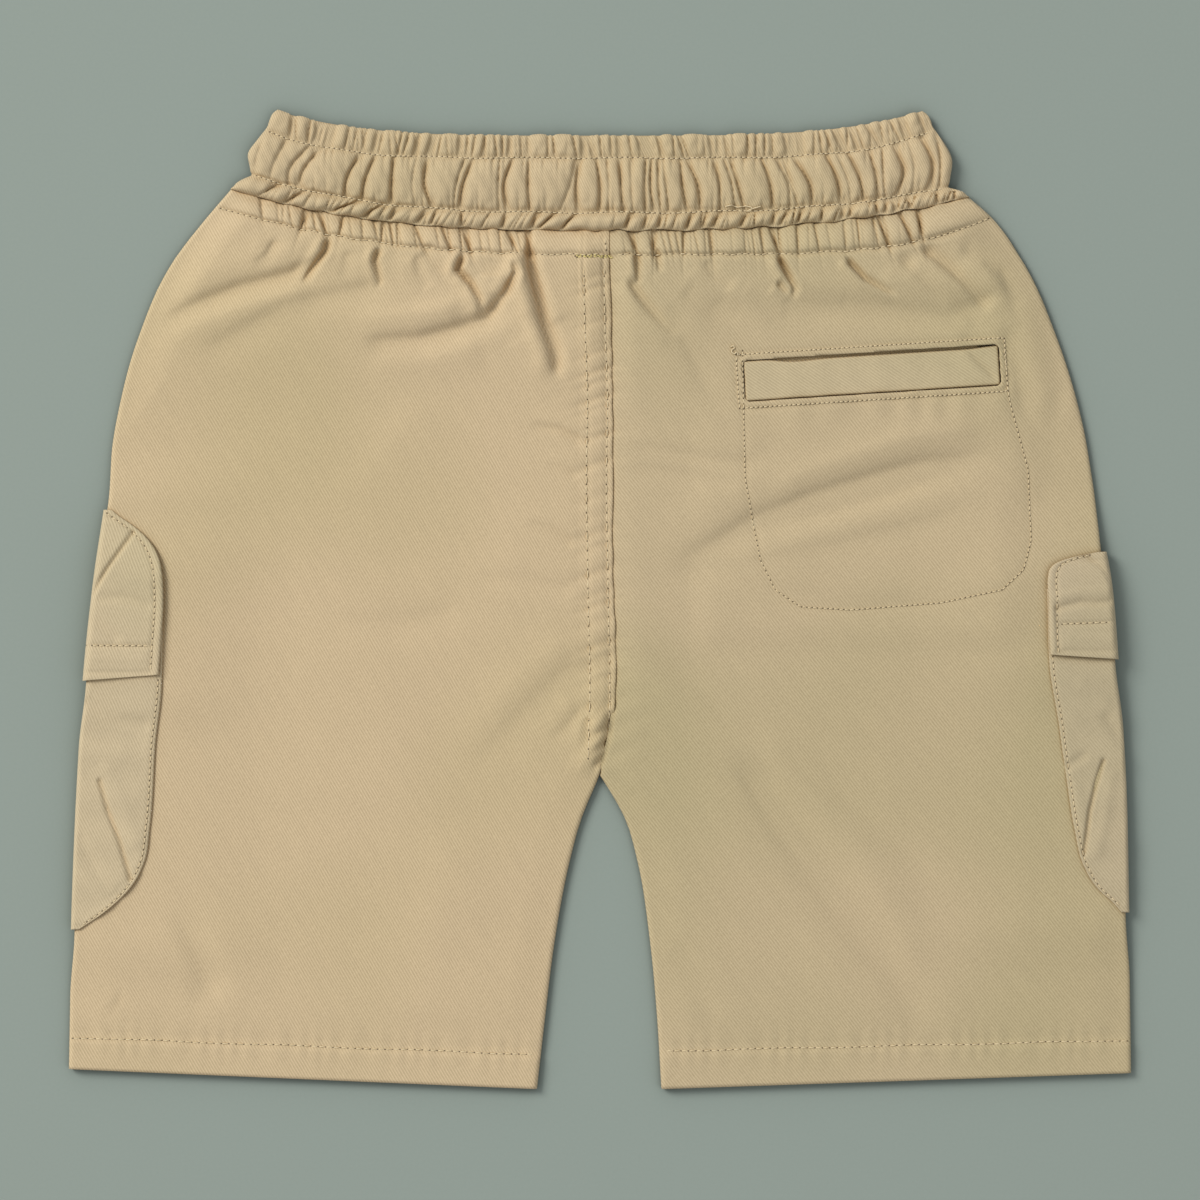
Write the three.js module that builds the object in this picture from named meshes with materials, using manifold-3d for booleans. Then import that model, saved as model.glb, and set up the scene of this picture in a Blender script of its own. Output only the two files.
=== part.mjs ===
// Kids' pull-on cargo shorts in cotton twill, laid flat on a table with the back side up.
// Millimetres, +Z up. X runs across the shorts, Y runs from the hems to the waist.
//
// The cloth lies in layers. From the table up these are the front panels, the pocket bag, the back
// panels, and outside them the cargo pockets and flaps, which wrap round the two side folds. Each cut
// piece is one closed wall of cloth between two skins, and a thin gap parts it from its neighbours.

import * as THREE from "three";
import { mergeVertices } from "three/addons/utils/BufferGeometryUtils.js";
import Module from "manifold-3d";

// Cloth
const CLOTH = 1.0; // thickness of one wall of cloth
const GAP = 0.3; // air between two pieces
const LAYER = CLOTH + GAP; // height that one more layer takes up

// Lines that the legs' layers share, as distances from the middle of the shorts
const CROTCH_Y = -61.3;
const LEG_TOP_Y = 57; // above this line the cloth is drawn into the waist's gathers
const SIDE_LINE = 150; // the cargo pockets lie outside this line
const BAG_LINE = 141; // the back pocket's bag lies inside this line
const WIDEST_ROW_GAP = 16; // between two rows of points down a leg
const LEG_COLUMNS = [0.25, 0.5, 0.72, 0.86]; // shares of the way from the bag line to the inner edge

// Seams and bands
const HEM_EXTRA = 0.4; // the hem is turned up twice, so it is thicker
const LAP_WIDTH = 10; // the left back panel laps over the right one at the centre seam
const LAP_EXTRA = 0.5;
const EDGE = 1; // width of the rounded edge of a wall
const STRIP_CLOTH = 1.6; // the gathered strip between the topstitch and the waistband
const STRIP_GATHERS = 26; // on each leg

const LEG_PUFF = 0.4; // how far the back panels stand clear of the front ones over the legs
const WAIST_PUFF = 1.6; // and under the waist, where the gathers push them up

// Waistband
const BAND_FRONT_THICKNESS = 2.2;
const BAND_BACK_UNDERSIDE = BAND_FRONT_THICKNESS + GAP;
const BAND_GATHERS = 64;
const BAND_SMOOTH_END = 102; // left of this the casing puffs up with hardly a gather
const GATHER_LEAN = 4; // how far the lower ruffle's gathers are pushed to the left

// Back pocket, on the right leg
const WINDOW = { x: 94.9, y: 79.2, width: 89.6, height: 14.5, tilt: 3.65, corner: 2 };
const WELT_THICKNESS = 0.85;
const BAG = { left: 47, right: 139, bottom: -2, top: 93, corner: 18 };

// Cargo pockets and flaps
const FRONT_HALF = 28; // width of the hidden half, on the front panel
const STEP_UP = 8; // length over which a layer climbs on to the next one

// Where the centre seam lies at each height, to the right of the middle of the shorts.
const CENTRE_SEAM = [
  { y: -61.3, x: 0 },
  { y: -43, x: 4.9 },
  { y: -27, x: 5.7 },
  { y: 14, x: 4.6 },
  { y: 53, x: 4.7 },
  { y: 93, x: 4.2 },
  { y: 131, x: 3.2 },
];

// The legs. In an outline and an inseam, x is the distance from the middle of the shorts at each
// height. A seam near the waist has its height in the middle, and rises to half its length away.
const LEFT = {
  side: -1,
  outline: [
    { y: -164, x: 185.7 },
    { y: -105, x: 184.5 },
    { y: -63, x: 182.7 },
    { y: -21, x: 179.9 },
    { y: 7, x: 176.8 },
    { y: 35, x: 172.9 },
    { y: 63, x: 169 },
    { y: 91, x: 161.7 },
    { y: 119, x: 148.8 },
    { y: 132.3, x: 138.6 },
    { y: 143.5, x: 129 },
  ],
  inseam: [
    { y: -170.8, x: 22 },
    { y: -147, x: 19.3 },
    { y: -119, x: 15.8 },
    { y: -91, x: 10.5 },
    { y: -77, x: 6.7 },
    { y: CROTCH_Y, x: 0.15 },
  ],
  hem: { outer: -163.8, inner: -170.8 },
  hemStitch: { outer: -152.8, inner: -158.8 },
  topstitch: { middle: 120.5, rise: 17, power: 2.5, half: 134.8 },
  join: { middle: 129, rise: 14.5, power: 2.8, half: 129 },
  flap: { top: 31.5, bottom: -28.2, freeBottom: -26 },
  pocket: { top: 8, bottom: -115 },
  // y is a height on the side fold, width is how far the piece reaches in from the fold there
  flapShape: [
    { y: 31.5, width: 3 },
    { y: 29, width: 6.5 },
    { y: 25.9, width: 11.5 },
    { y: 18.9, width: 19.5 },
    { y: 9.8, width: 24 },
    { y: -0.7, width: 25.8 },
    { y: -28.2, width: 27 },
  ],
  pocketShape: [
    { y: 8, width: 23 },
    { y: -26.6, width: 26.6 },
    { y: -54, width: 27 },
    { y: -79, width: 26.6 },
    { y: -92, width: 25 },
    { y: -100.5, width: 20.6 },
    { y: -110.2, width: 10.2 },
    { y: -115, width: 3 },
  ],
};

const RIGHT = {
  side: 1,
  outline: [
    { y: -166, x: 185.7 },
    { y: -105, x: 184.8 },
    { y: -63, x: 183.8 },
    { y: -21, x: 181 },
    { y: 7, x: 178.5 },
    { y: 35, x: 173.3 },
    { y: 63, x: 168.4 },
    { y: 91, x: 160 },
    { y: 119, x: 147.4 },
    { y: 134.4, x: 136.2 },
    { y: 140.7, x: 129 },
  ],
  inseam: [
    { y: -170.8, x: 21.4 },
    { y: -147, x: 20 },
    { y: -119, x: 17.4 },
    { y: -91, x: 13 },
    { y: -77, x: 9 },
    { y: CROTCH_Y, x: 0.15 },
  ],
  hem: { outer: -165.2, inner: -170.8 },
  hemStitch: { outer: -153.8, inner: -157.6 },
  topstitch: { middle: 120.5, rise: 12.7, power: 5, half: 135.6 },
  join: { middle: 129, rise: 11.7, power: 2.8, half: 129 },
  flap: { top: 16.8, bottom: -20.7, freeBottom: -19 },
  pocket: { top: 4, bottom: -109 },
  flapShape: [
    { y: 16.8, width: 9 },
    { y: 14.4, width: 17.3 },
    { y: 12, width: 21.5 },
    { y: -9.5, width: 24.8 },
    { y: -20.7, width: 24.3 },
  ],
  pocketShape: [
    { y: 4, width: 22 },
    { y: -22, width: 23.3 },
    { y: -60.9, width: 21.3 },
    { y: -79.8, width: 19 },
    { y: -93.1, width: 15.8 },
    { y: -100.5, width: 11.4 },
    { y: -106, width: 5.5 },
    { y: -109, width: 3 },
  ],
};

// The largest folds of the back panels. Each runs from one point to the next and fades out there.
// width is the half-width of its trough, height is negative for a trough and positive for a ridge.
const FOLDS = [
  { x0: -24.5, y0: 129, x1: -19.5, y1: 92, width: 3.2, height: -1.5 },
  { x0: -30, y0: 126, x1: -25, y1: 96, width: 4.5, height: 0.9 },
  { x0: -20.7, y0: 97, x1: -5.3, y1: 77, width: 5, height: -0.7 },
  { x0: -51.5, y0: 121, x1: -43, y1: 102, width: 3.2, height: -1.2 },
  { x0: -35, y0: 116, x1: -43, y1: 103, width: 3.2, height: -0.9 },
  { x0: -35, y0: 106, x1: -86, y1: 94, width: 6, height: -0.8 },
  { x0: -79, y0: 125, x1: -76, y1: 113, width: 3.2, height: -1 },
  { x0: -95, y0: 127, x1: -104, y1: 110, width: 3.4, height: -1.1 },
  { x0: -96, y0: 120, x1: -158, y1: 92, width: 8, height: -0.8 },
  { x0: 8.8, y0: 122, x1: 27, y1: 92, width: 4, height: -1 },
  { x0: 59.5, y0: 126, x1: 66.5, y1: 109, width: 3.2, height: -1.2 },
  { x0: 85.8, y0: 124, x1: 88, y1: 115, width: 3.2, height: -0.9 },
  { x0: 36, y0: 116, x1: 108, y1: 104, width: 6, height: -0.7 },
  { x0: 110, y0: 124, x1: 137, y1: 108, width: 6, height: -0.7 },
];

// Waistband from its seam up to its top edge, a row for each line across it. A line rises from its
// height in the middle by left and right at its two ends, each half its length away. crest and valley
// are the band's thickness on and between gathers.
const BAND = [
  { name: "join", middle: 129.3, left: 14.5, right: 11.7, power: 2.8, half: 129, crest: 1.5, valley: 1 },
  { name: "low ruffle", middle: 131.2, left: 14, right: 10.8, power: 2.9, half: 127, crest: 2.7, valley: 1.4 },
  { name: "high ruffle", middle: 133.4, left: 13.6, right: 9.8, power: 3, half: 124.3, crest: 2.4, valley: 1.3 },
  { name: "lower stitch", middle: 135.2, left: 13.2, right: 9, power: 3, half: 121.6, crest: 1.6, valley: 1.1 },
  { name: "channel foot", middle: 138, left: 12.6, right: 9, power: 3.4, half: 122.4, crest: 2.8, valley: 1.6 },
  { name: "channel middle", middle: 144.6, left: 11.4, right: 9.4, power: 4, half: 122.9, crest: 3.2, valley: 1.7 },
  { name: "channel head", middle: 151.2, left: 10.2, right: 9.8, power: 4.6, half: 119.6, crest: 2.8, valley: 1.6 },
  { name: "upper stitch", middle: 154.3, left: 9.8, right: 9.8, power: 5, half: 117, crest: 1.6, valley: 1.1 },
  { name: "header", middle: 158, left: 9.2, right: 9.2, power: 4.6, half: 115.4, crest: 2.1, valley: 1.2 },
  { name: "top edge", middle: 162.2, left: 8.6, right: 8.6, power: 4, half: 113.7, crest: 1.5, valley: 0.9 },
];

function lerp(a, b, share) {
  return a + (b - a) * share;
}

// Climbs from 0 at one value to 1 at the other.
function ramp(value, zeroAt, oneAt) {
  return THREE.MathUtils.clamp((value - zeroAt) / (oneAt - zeroAt), 0, 1);
}

// Reads a column of a table whose rows are sorted by y, in straight stretches between its rows.
function lookUp(table, y, column) {
  const rows = table[0].y < table.at(-1).y ? table : [...table].reverse();
  const next = rows.findIndex((row) => row.y > y);
  if (next === 0) return rows[0][column];
  if (next < 0) return rows.at(-1)[column];
  const below = rows[next - 1];
  const above = rows[next];
  return lerp(below[column], above[column], (y - below.y) / (above.y - below.y));
}

// Triangles between two lines of points. Each point has its place u along its line.
function zip(lower, upper, faces, flipped) {
  let i = 0;
  let j = 0;
  while (i < lower.length - 1 || j < upper.length - 1) {
    const lowerNext = j === upper.length - 1 || (i < lower.length - 1 && lower[i + 1].u <= upper[j + 1].u);
    const third = lowerNext ? lower[i + 1] : upper[j + 1];
    const face = [lower[i].id, third.id, upper[j].id];
    faces.push(flipped ? face.reverse() : face);
    if (lowerNext) i += 1;
    else j += 1;
  }
}

// The points as a line whose places are their shares of its length.
function byLength(points) {
  const lengths = [0];
  for (let i = 1; i < points.length; i += 1) {
    lengths.push(lengths[i - 1] + points[i].at.distanceTo(points[i - 1].at));
  }
  return points.map((point, i) => ({ ...point, u: lengths[i] / lengths.at(-1) }));
}

// A closed wall of cloth between two skins. A skin is a list of rows, and a row is a list of
// points { at, u }. The skins and their rows may have different numbers of points.
function wall(outerSkin, innerSkin) {
  const vertices = [];
  const number = (point) => ({ ...point, id: vertices.push(point.at) - 1 });
  const outer = outerSkin.map((row) => row.map(number));
  const inner = innerSkin.map((row) => row.map(number));
  const faces = [];
  for (let i = 1; i < outer.length; i += 1) zip(outer[i - 1], outer[i], faces, false);
  for (let i = 1; i < inner.length; i += 1) zip(inner[i - 1], inner[i], faces, true);
  zip(inner[0], outer[0], faces, false);
  zip(inner.at(-1), outer.at(-1), faces, true);
  const startOf = (skin) => byLength(skin.map((row) => row[0]));
  const endOf = (skin) => byLength(skin.map((row) => row.at(-1)));
  zip(startOf(inner), startOf(outer), faces, true);
  zip(endOf(inner), endOf(outer), faces, false);

  const volume = faces.reduce((sum, [a, b, c]) => {
    const normal = new THREE.Vector3().crossVectors(vertices[b], vertices[c]);
    return sum + vertices[a].dot(normal);
  }, 0);
  if (volume < 0) faces.forEach((face) => face.reverse());
  const geometry = new THREE.BufferGeometry().setFromPoints(vertices);
  geometry.setIndex(faces.flat());
  geometry.computeVertexNormals();
  return geometry;
}

// How many layers wrap round the side fold at a height: none, a pocket or flap, or both.
function wrapStations(leg) {
  return [
    { y: leg.flap.top + 2 + STEP_UP, layers: 0 },
    { y: leg.flap.top + 2, layers: 1 },
    { y: leg.pocket.top + 1 + STEP_UP, layers: 1 },
    { y: leg.pocket.top + 1, layers: 2 },
    { y: leg.flap.bottom - 2, layers: 2 },
    { y: leg.flap.bottom - 2 - STEP_UP, layers: 1 },
    { y: leg.pocket.bottom - 2, layers: 1 },
    { y: leg.pocket.bottom - 2 - STEP_UP, layers: 0 },
  ];
}

function wraps(leg, y) {
  return lookUp(wrapStations(leg), y, "layers");
}

// Where the outermost layer ends at a height, and where the panels inside the wraps end.
function outerEdge(leg, y) {
  return lookUp(leg.outline, y, "x");
}

function panelEdge(leg, y) {
  return outerEdge(leg, y) - LAYER * wraps(leg, y);
}

function innerEdge(leg, y) {
  if (y < CROTCH_Y) return lookUp(leg.inseam, y, "x");
  return leg.side * lookUp(CENTRE_SEAM, y, "x") + GAP / 2;
}

// A row of points across a panel, from the side fold to the inner edge. heightAt gives its y for
// a share of the way across, and columns gives its distances from the middle of the shorts.
function acrossPanel(leg, heightAt, columns) {
  const outer = panelEdge(leg, heightAt(0));
  const inner = innerEdge(leg, heightAt(1));
  return columns(outer, inner).map((x) => {
    const u = (outer - x) / (outer - inner);
    return { x, y: heightAt(u), u, outer, inner };
  });
}

function legColumns(outer, inner) {
  const between = LEG_COLUMNS.map((share) => lerp(BAG_LINE, inner, share));
  return [outer, outer - EDGE, outer - 12, SIDE_LINE, BAG_LINE, ...between, ...innerColumns(inner)];
}

function innerColumns(inner) {
  return [inner + LAP_WIDTH + EDGE, inner + LAP_WIDTH, inner + EDGE, inner];
}

function evenColumns(count) {
  return (outer, inner) => {
    const from = outer - EDGE;
    const to = inner + LAP_WIDTH + EDGE;
    const between = Array.from({ length: count }, (_, i) => lerp(from, to, i / count));
    return [outer, ...between, ...innerColumns(inner)];
  };
}

// Two columns for each gather, on its crest and in its valley, unevenly spaced.
function gatherColumns(outer, inner) {
  const count = STRIP_GATHERS * 2;
  return Array.from({ length: count + 1 }, (_, i) => {
    const share = i / count + 0.008 * Math.sin(i * 1.7) * Math.sin((Math.PI * i) / count);
    return lerp(outer, inner, share);
  });
}

// Heights of the rows down a leg, with one at each station and none too far from the next.
function levelRows(leg) {
  const stations = [...wrapStations(leg).map((row) => row.y), CROTCH_Y, LEG_TOP_Y];
  if (leg === RIGHT) stations.push(BAG.bottom - 6);
  stations.sort((a, b) => a - b);
  const levels = [stations[0]];
  for (let i = 1; i < stations.length; i += 1) {
    const parts = Math.ceil((stations[i] - stations[i - 1]) / WIDEST_ROW_GAP);
    for (let k = 1; k <= parts; k += 1) levels.push(lerp(stations[i - 1], stations[i], k / parts));
  }
  return levels;
}

// The curve of a seam near the waist, for a share of the way from the side fold to the inner edge.
function seamCurve(leg, seam) {
  const inner = innerEdge(leg, seam.middle);
  return (u) => seam.middle + seam.rise * Math.abs(lerp(1, inner / seam.half, u)) ** seam.power;
}

function between(lowerCurve, upperCurve, share) {
  return (u) => lerp(lowerCurve(u), upperCurve(u), share);
}

// Rows of a panel from the hem up to the waistband's seam. part says what a row belongs to.
function panelRows(leg, foldRows, waistColumns) {
  const hem = (u) => lerp(leg.hem.outer, leg.hem.inner, u);
  const stitch = (u) => lerp(leg.hemStitch.outer, leg.hemStitch.inner, u);
  const levels = levelRows(leg);
  const rows = [
    { part: "hem", points: acrossPanel(leg, hem, legColumns) },
    { part: "hem", points: acrossPanel(leg, (u) => stitch(u) - 1, legColumns) },
    { part: "leg", points: acrossPanel(leg, stitch, legColumns) },
    { part: "leg", points: acrossPanel(leg, between(stitch, () => levels[0], 0.5), legColumns) },
  ];
  for (const level of levels) {
    rows.push({ part: "leg", points: acrossPanel(leg, () => level, legColumns) });
  }
  const topstitch = seamCurve(leg, leg.topstitch);
  for (let i = 1; i <= foldRows; i += 1) {
    const curve = between(() => LEG_TOP_Y, topstitch, i / foldRows);
    rows.push({ part: "leg", points: acrossPanel(leg, curve, waistColumns) });
  }
  return rows;
}

// Height of a fold at a point: a soft trough or ridge that fades towards its far end.
function foldHeight(fold, x, y) {
  const along = new THREE.Vector2(fold.x1 - fold.x0, fold.y1 - fold.y0);
  const to = new THREE.Vector2(x - fold.x0, y - fold.y0);
  const share = THREE.MathUtils.clamp(to.dot(along) / along.lengthSq(), 0, 1);
  const distance = to.sub(along.multiplyScalar(share)).length();
  return fold.height * Math.exp(-((distance / fold.width) ** 2)) * (1 - 0.6 * share);
}

// How far the bag of the back pocket lifts the right panel, as a share of a layer.
function overBag(leg, point) {
  if (leg !== RIGHT) return 0;
  const side = lerp(BAG_LINE, BAG_LINE + 6, ramp(point.y, 27, 45));
  const across = ramp(point.x, BAG.left - 17, BAG.left - 6) * ramp(point.x, side + 9, side);
  return across * ramp(point.y, BAG.bottom - 18, BAG.bottom - 6) * ramp(point.y, BAG.top + 19, BAG.top + 5);
}

// How far the back panel stands clear of the front one: softly over the leg, more under the waist,
// and not at all at its edges and seams.
function puff(leg, point) {
  const { x, y, u, outer, inner } = point;
  const side = Math.min(ramp(outer - x, 1, 16), y < LEG_TOP_Y ? ramp(x, SIDE_LINE, BAG_LINE - 10) : 1);
  const belowWaistband = seamCurve(leg, leg.join)(u) - y;
  const edges = side * ramp(x - inner, 0, 14) * ramp(y, -166, -140) * ramp(belowWaistband, 0, 22);
  const fullness = edges * lerp(LEG_PUFF, WAIST_PUFF, ramp(y, 60, 105));
  const bag = overBag(leg, point);
  const folds = FOLDS.reduce((sum, fold) => sum + foldHeight(fold, leg.side * x, y), 0);
  const foldsHere = 1 - bag * ramp(y, BAG.top + 13, BAG.top + 5);
  return Math.max(0, lerp(fullness, LAYER, bag) + folds * foldsHere * edges);
}

// The wraps lift the panels near the side fold.
function lift(leg, point) {
  return LAYER * wraps(leg, point.y) * ramp(point.x, BAG_LINE, SIDE_LINE);
}

function place(leg, point, z) {
  return { at: new THREE.Vector3(leg.side * point.x, point.y, z), u: point.u };
}

// Thickness of a back panel: rounded at its edges, more on the hem and on the lapped centre seam.
function backThickness(leg, part, point) {
  if (point.x === point.outer) return CLOTH * 0.4;
  if (point.x === point.inner) return CLOTH * 0.7;
  const lapped = leg === LEFT && point.y > CROTCH_Y && point.x - point.inner < LAP_WIDTH + EDGE / 2;
  return CLOTH + (part === "hem" ? HEM_EXTRA : 0) + (lapped ? LAP_EXTRA : 0);
}

// Rows of the gathered strip, from the topstitch up to the waistband.
const STRIP = [
  { name: "above the topstitch", share: 0.2, crest: 0.7, valley: 0 },
  { name: "middle", share: 0.55, crest: 0.9, valley: 0.1 },
  { name: "below the seam", share: 0.85, crest: 0.8, valley: 0.1 },
  { name: "seam", share: 1, crest: 0.3, valley: 0 },
];

function backPanel(leg) {
  const rows = panelRows(leg, 13, evenColumns(24));
  const topstitch = seamCurve(leg, leg.topstitch);
  const join = seamCurve(leg, leg.join);
  const outerSkin = rows.map(({ part, points }) =>
    points.map((point) => {
      const underside = LAYER + lift(leg, point) + puff(leg, point);
      return place(leg, point, underside + backThickness(leg, part, point));
    }),
  );
  for (const row of STRIP) {
    const points = acrossPanel(leg, between(topstitch, join, row.share), gatherColumns);
    outerSkin.push(
      points.map((point, i) => {
        const size = 0.7 + 0.3 * Math.sin(i * 0.9);
        const relief = i % 2 === 0 ? row.valley : row.crest * size;
        const edge = point.x === point.outer || point.x === point.inner;
        const thickness = edge ? CLOTH * 0.7 : STRIP_CLOTH + relief;
        return place(leg, point, LAYER + puff(leg, point) + thickness);
      }),
    );
  }
  const innerSkin = rows.map(({ points }) =>
    points.map((point) => place(leg, point, LAYER + lift(leg, point) + puff(leg, point))),
  );
  innerSkin.push(acrossPanel(leg, join, evenColumns(24)).map((point) => place(leg, point, LAYER)));
  return wall(outerSkin, innerSkin);
}

function frontPanel(leg) {
  const columns = evenColumns(10);
  const rows = panelRows(leg, 3, columns).map((row) => row.points);
  rows.push(acrossPanel(leg, seamCurve(leg, leg.join), columns));
  const top = rows.map((points) => points.map((point) => place(leg, point, lift(leg, point) + CLOTH)));
  const underside = rows.map((points) =>
    points.map((point) => {
      const rounded = point.x === point.outer ? CLOTH * 0.6 : 0;
      return place(leg, point, lift(leg, point) + rounded);
    }),
  );
  return wall(top, underside);
}

// A piece that wraps round the side fold, from its free edge in front to its free edge at the back.
// Each row has its height on the fold, its height at the free edge, and its place in the stack.
function wrapped(leg, rows) {
  const widest = Math.max(...leg.flapShape.map((row) => row.width));
  const outerSkin = [];
  const innerSkin = [];
  for (const { y, freeY, width, inset, front, back } of rows) {
    const fold = outerEdge(leg, y) - inset;
    const frontWidth = FRONT_HALF * (width / widest);
    const top = back + CLOTH;
    const point = (x, z, u) => {
      const share = (fold - x) / width;
      return { at: new THREE.Vector3(leg.side * x, lerp(y, freeY, Math.min(share, 1)), z), u };
    };
    outerSkin.push([
      point(fold - frontWidth, front + CLOTH * 0.4, 0),
      point(fold - frontWidth + 0.8, front, 0.04),
      point(fold - EDGE, front, 0.36),
      point(fold - EDGE * 0.3, front + EDGE * 0.3, 0.4),
      point(fold, front + EDGE, 0.44),
      point(fold, back, 0.56),
      point(fold - EDGE * 0.3, top - EDGE * 0.3, 0.6),
      point(fold - EDGE, top, 0.64),
      point(fold - width + 0.8, top, 0.96),
      point(fold - width, top - CLOTH * 0.4, 1),
    ]);
    innerSkin.push([
      point(fold - frontWidth, front + CLOTH, 0),
      point(fold - CLOTH, front + CLOTH, 0.42),
      point(fold - CLOTH, back, 0.58),
      point(fold - width, back, 1),
    ]);
  }
  return wall(outerSkin, innerSkin);
}

// Heights of a wrapped piece's rows: its own shape's, and each station of the layers within it.
function wrapLevels(leg, shape) {
  const own = shape.map((row) => row.y);
  const stations = wrapStations(leg).map((row) => row.y);
  const within = stations.filter((y) => y < own[0] && y > own.at(-1));
  return [...own, ...within].sort((a, b) => a - b);
}

function cargoPocket(leg) {
  const rows = wrapLevels(leg, leg.pocketShape).map((y) => {
    const layers = wraps(leg, y);
    return {
      y,
      freeY: y,
      width: lookUp(leg.pocketShape, y, "width"),
      inset: LAYER * (layers - 1),
      front: LAYER * (layers - 1),
      back: LAYER * (layers + 2),
    };
  });
  return wrapped(leg, rows);
}

function cargoFlap(leg) {
  const slant = leg.flap.freeBottom - leg.flap.bottom;
  const rows = wrapLevels(leg, leg.flapShape).map((y) => ({
    y,
    freeY: y + slant * ramp(y, leg.flap.bottom + 10, leg.flap.bottom),
    width: lookUp(leg.flapShape, y, "width"),
    inset: 0,
    front: 0,
    back: LAYER * (2 * wraps(leg, y) + 1),
  }));
  return wrapped(leg, rows);
}

// A point across the waistband: s runs from -1 at its left end to 1 at its right end.
function bandPoint(row, s, z, u) {
  const rise = s < 0 ? row.left : row.right;
  return { at: new THREE.Vector3(s * row.half, row.middle + rise * Math.abs(s) ** row.power, z), u };
}

// The back half of the waistband. Each gather has a valley and two shoulders, so its crest is
// broad and the crease beside it is narrow. The gathers are uneven in place and in height.
function waistbandBack() {
  const columns = BAND_GATHERS * 3;
  const outerSkin = BAND.map((row) => {
    const ruffle = ramp(row.middle, 137, 129);
    const points = [];
    for (let i = 0; i <= columns; i += 1) {
      const even = (2 * i) / columns - 1;
      const middle = 1 - even * even;
      const gather = Math.floor(i / 3);
      const uneven = 0.01 * Math.sin(i * 0.35) + 0.005 * Math.sin(i * 0.8);
      const s = even + middle * (uneven - (ruffle * GATHER_LEAN) / row.half);
      const smooth = ramp(s * row.half, -BAND_SMOOTH_END - 8, -BAND_SMOOTH_END + 4);
      const size = (0.72 + 0.28 * Math.sin(gather * 1.9)) * lerp(0.35, 1, smooth);
      const crease = i % 3 === 0 ? (row.crest - row.valley) * size : 0;
      const rounded = ramp(middle, 0, 0.06);
      const thickness = lerp(0.6, row.crest - crease, Math.sqrt(rounded));
      points.push(bandPoint(row, s, BAND_BACK_UNDERSIDE + thickness, i / columns));
    }
    return points;
  });
  return wall(outerSkin, plainBand(BAND_BACK_UNDERSIDE));
}

function plainBand(z) {
  const columns = 20;
  const rows = BAND.filter((_, i) => i % 3 === 0);
  return rows.map((row) =>
    Array.from({ length: columns + 1 }, (_, i) => bandPoint(row, (2 * i) / columns - 1, z, i / columns)),
  );
}

function waistbandFront() {
  return wall(plainBand(BAND_FRONT_THICKNESS), plainBand(0));
}

// A flat plate with round corners, its underside at z.
function roundedPlate({ x, y, width, height, tilt, corner }, thickness, z) {
  const shape = new THREE.Shape();
  const right = width / 2;
  const top = height / 2;
  shape.absarc(right - corner, top - corner, corner, 0, Math.PI / 2);
  shape.absarc(corner - right, top - corner, corner, Math.PI / 2, Math.PI);
  shape.absarc(corner - right, corner - top, corner, Math.PI, 1.5 * Math.PI);
  shape.absarc(right - corner, corner - top, corner, 1.5 * Math.PI, 2 * Math.PI);
  const geometry = new THREE.ExtrudeGeometry(shape, { depth: thickness, bevelEnabled: false, curveSegments: 3 });
  geometry.rotateZ(THREE.MathUtils.degToRad(tilt));
  return geometry.translate(x, y, z);
}

function pocketWelt() {
  const size = { ...WINDOW, width: WINDOW.width - 2 * GAP, height: WINDOW.height - 2 * GAP };
  return roundedPlate(size, WELT_THICKNESS, 2 * LAYER);
}

function pocketBag() {
  const size = {
    x: (BAG.left + BAG.right) / 2,
    y: (BAG.bottom + BAG.top) / 2,
    width: BAG.right - BAG.left,
    height: BAG.top - BAG.bottom,
    tilt: 0,
    corner: BAG.corner,
  };
  return roundedPlate(size, CLOTH, LAYER);
}

const manifoldLibrary = await Module();
manifoldLibrary.setup();

function toSolid(geometry) {
  const bare = geometry.clone();
  bare.deleteAttribute("normal");
  bare.deleteAttribute("uv");
  const merged = mergeVertices(bare, 1e-4);
  const mesh = new manifoldLibrary.Mesh({
    numProp: 3,
    vertProperties: new Float32Array(merged.attributes.position.array),
    triVerts: new Uint32Array(merged.index.array),
  });
  return new manifoldLibrary.Manifold(mesh);
}

function fromSolid(solid) {
  const mesh = solid.getMesh();
  const geometry = new THREE.BufferGeometry();
  geometry.setAttribute("position", new THREE.BufferAttribute(mesh.vertProperties, 3));
  geometry.setIndex(new THREE.BufferAttribute(mesh.triVerts, 1));
  geometry.computeVertexNormals();
  return geometry;
}

// The right back panel, with the window of the welt pocket cut through it.
function backPanelWithWindow() {
  const cutter = roundedPlate(WINDOW, 4 * LAYER, LAYER);
  return fromSolid(toSolid(backPanel(RIGHT)).subtract(toSolid(cutter)));
}

// Twill in the shades that each piece shows.
const TWILL = 0xbfa983;
const TWILL_WARM = 0xc7b390;
const TWILL_COOL = 0xb9a989;

const shorts = new THREE.Group();
shorts.name = "cargo_shorts";

function addPiece(name, geometry, color) {
  const material = new THREE.MeshStandardMaterial({ color, roughness: 0.9, metalness: 0 });
  const mesh = new THREE.Mesh(geometry, material);
  mesh.name = name;
  shorts.add(mesh);
}

addPiece("front_panel_left", frontPanel(LEFT), TWILL);
addPiece("front_panel_right", frontPanel(RIGHT), TWILL);
addPiece("waistband_front", waistbandFront(), TWILL);
addPiece("back_pocket_bag", pocketBag(), TWILL_COOL);
addPiece("back_panel_left", backPanel(LEFT), TWILL_WARM);
addPiece("back_panel_right", backPanelWithWindow(), TWILL);
addPiece("back_pocket_welt", pocketWelt(), TWILL_COOL);
addPiece("waistband_back", waistbandBack(), TWILL);
addPiece("cargo_pocket_left", cargoPocket(LEFT), TWILL_WARM);
addPiece("cargo_pocket_right", cargoPocket(RIGHT), TWILL);
addPiece("cargo_flap_left", cargoFlap(LEFT), TWILL_WARM);
addPiece("cargo_flap_right", cargoFlap(RIGHT), TWILL);

export default shorts;
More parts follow.
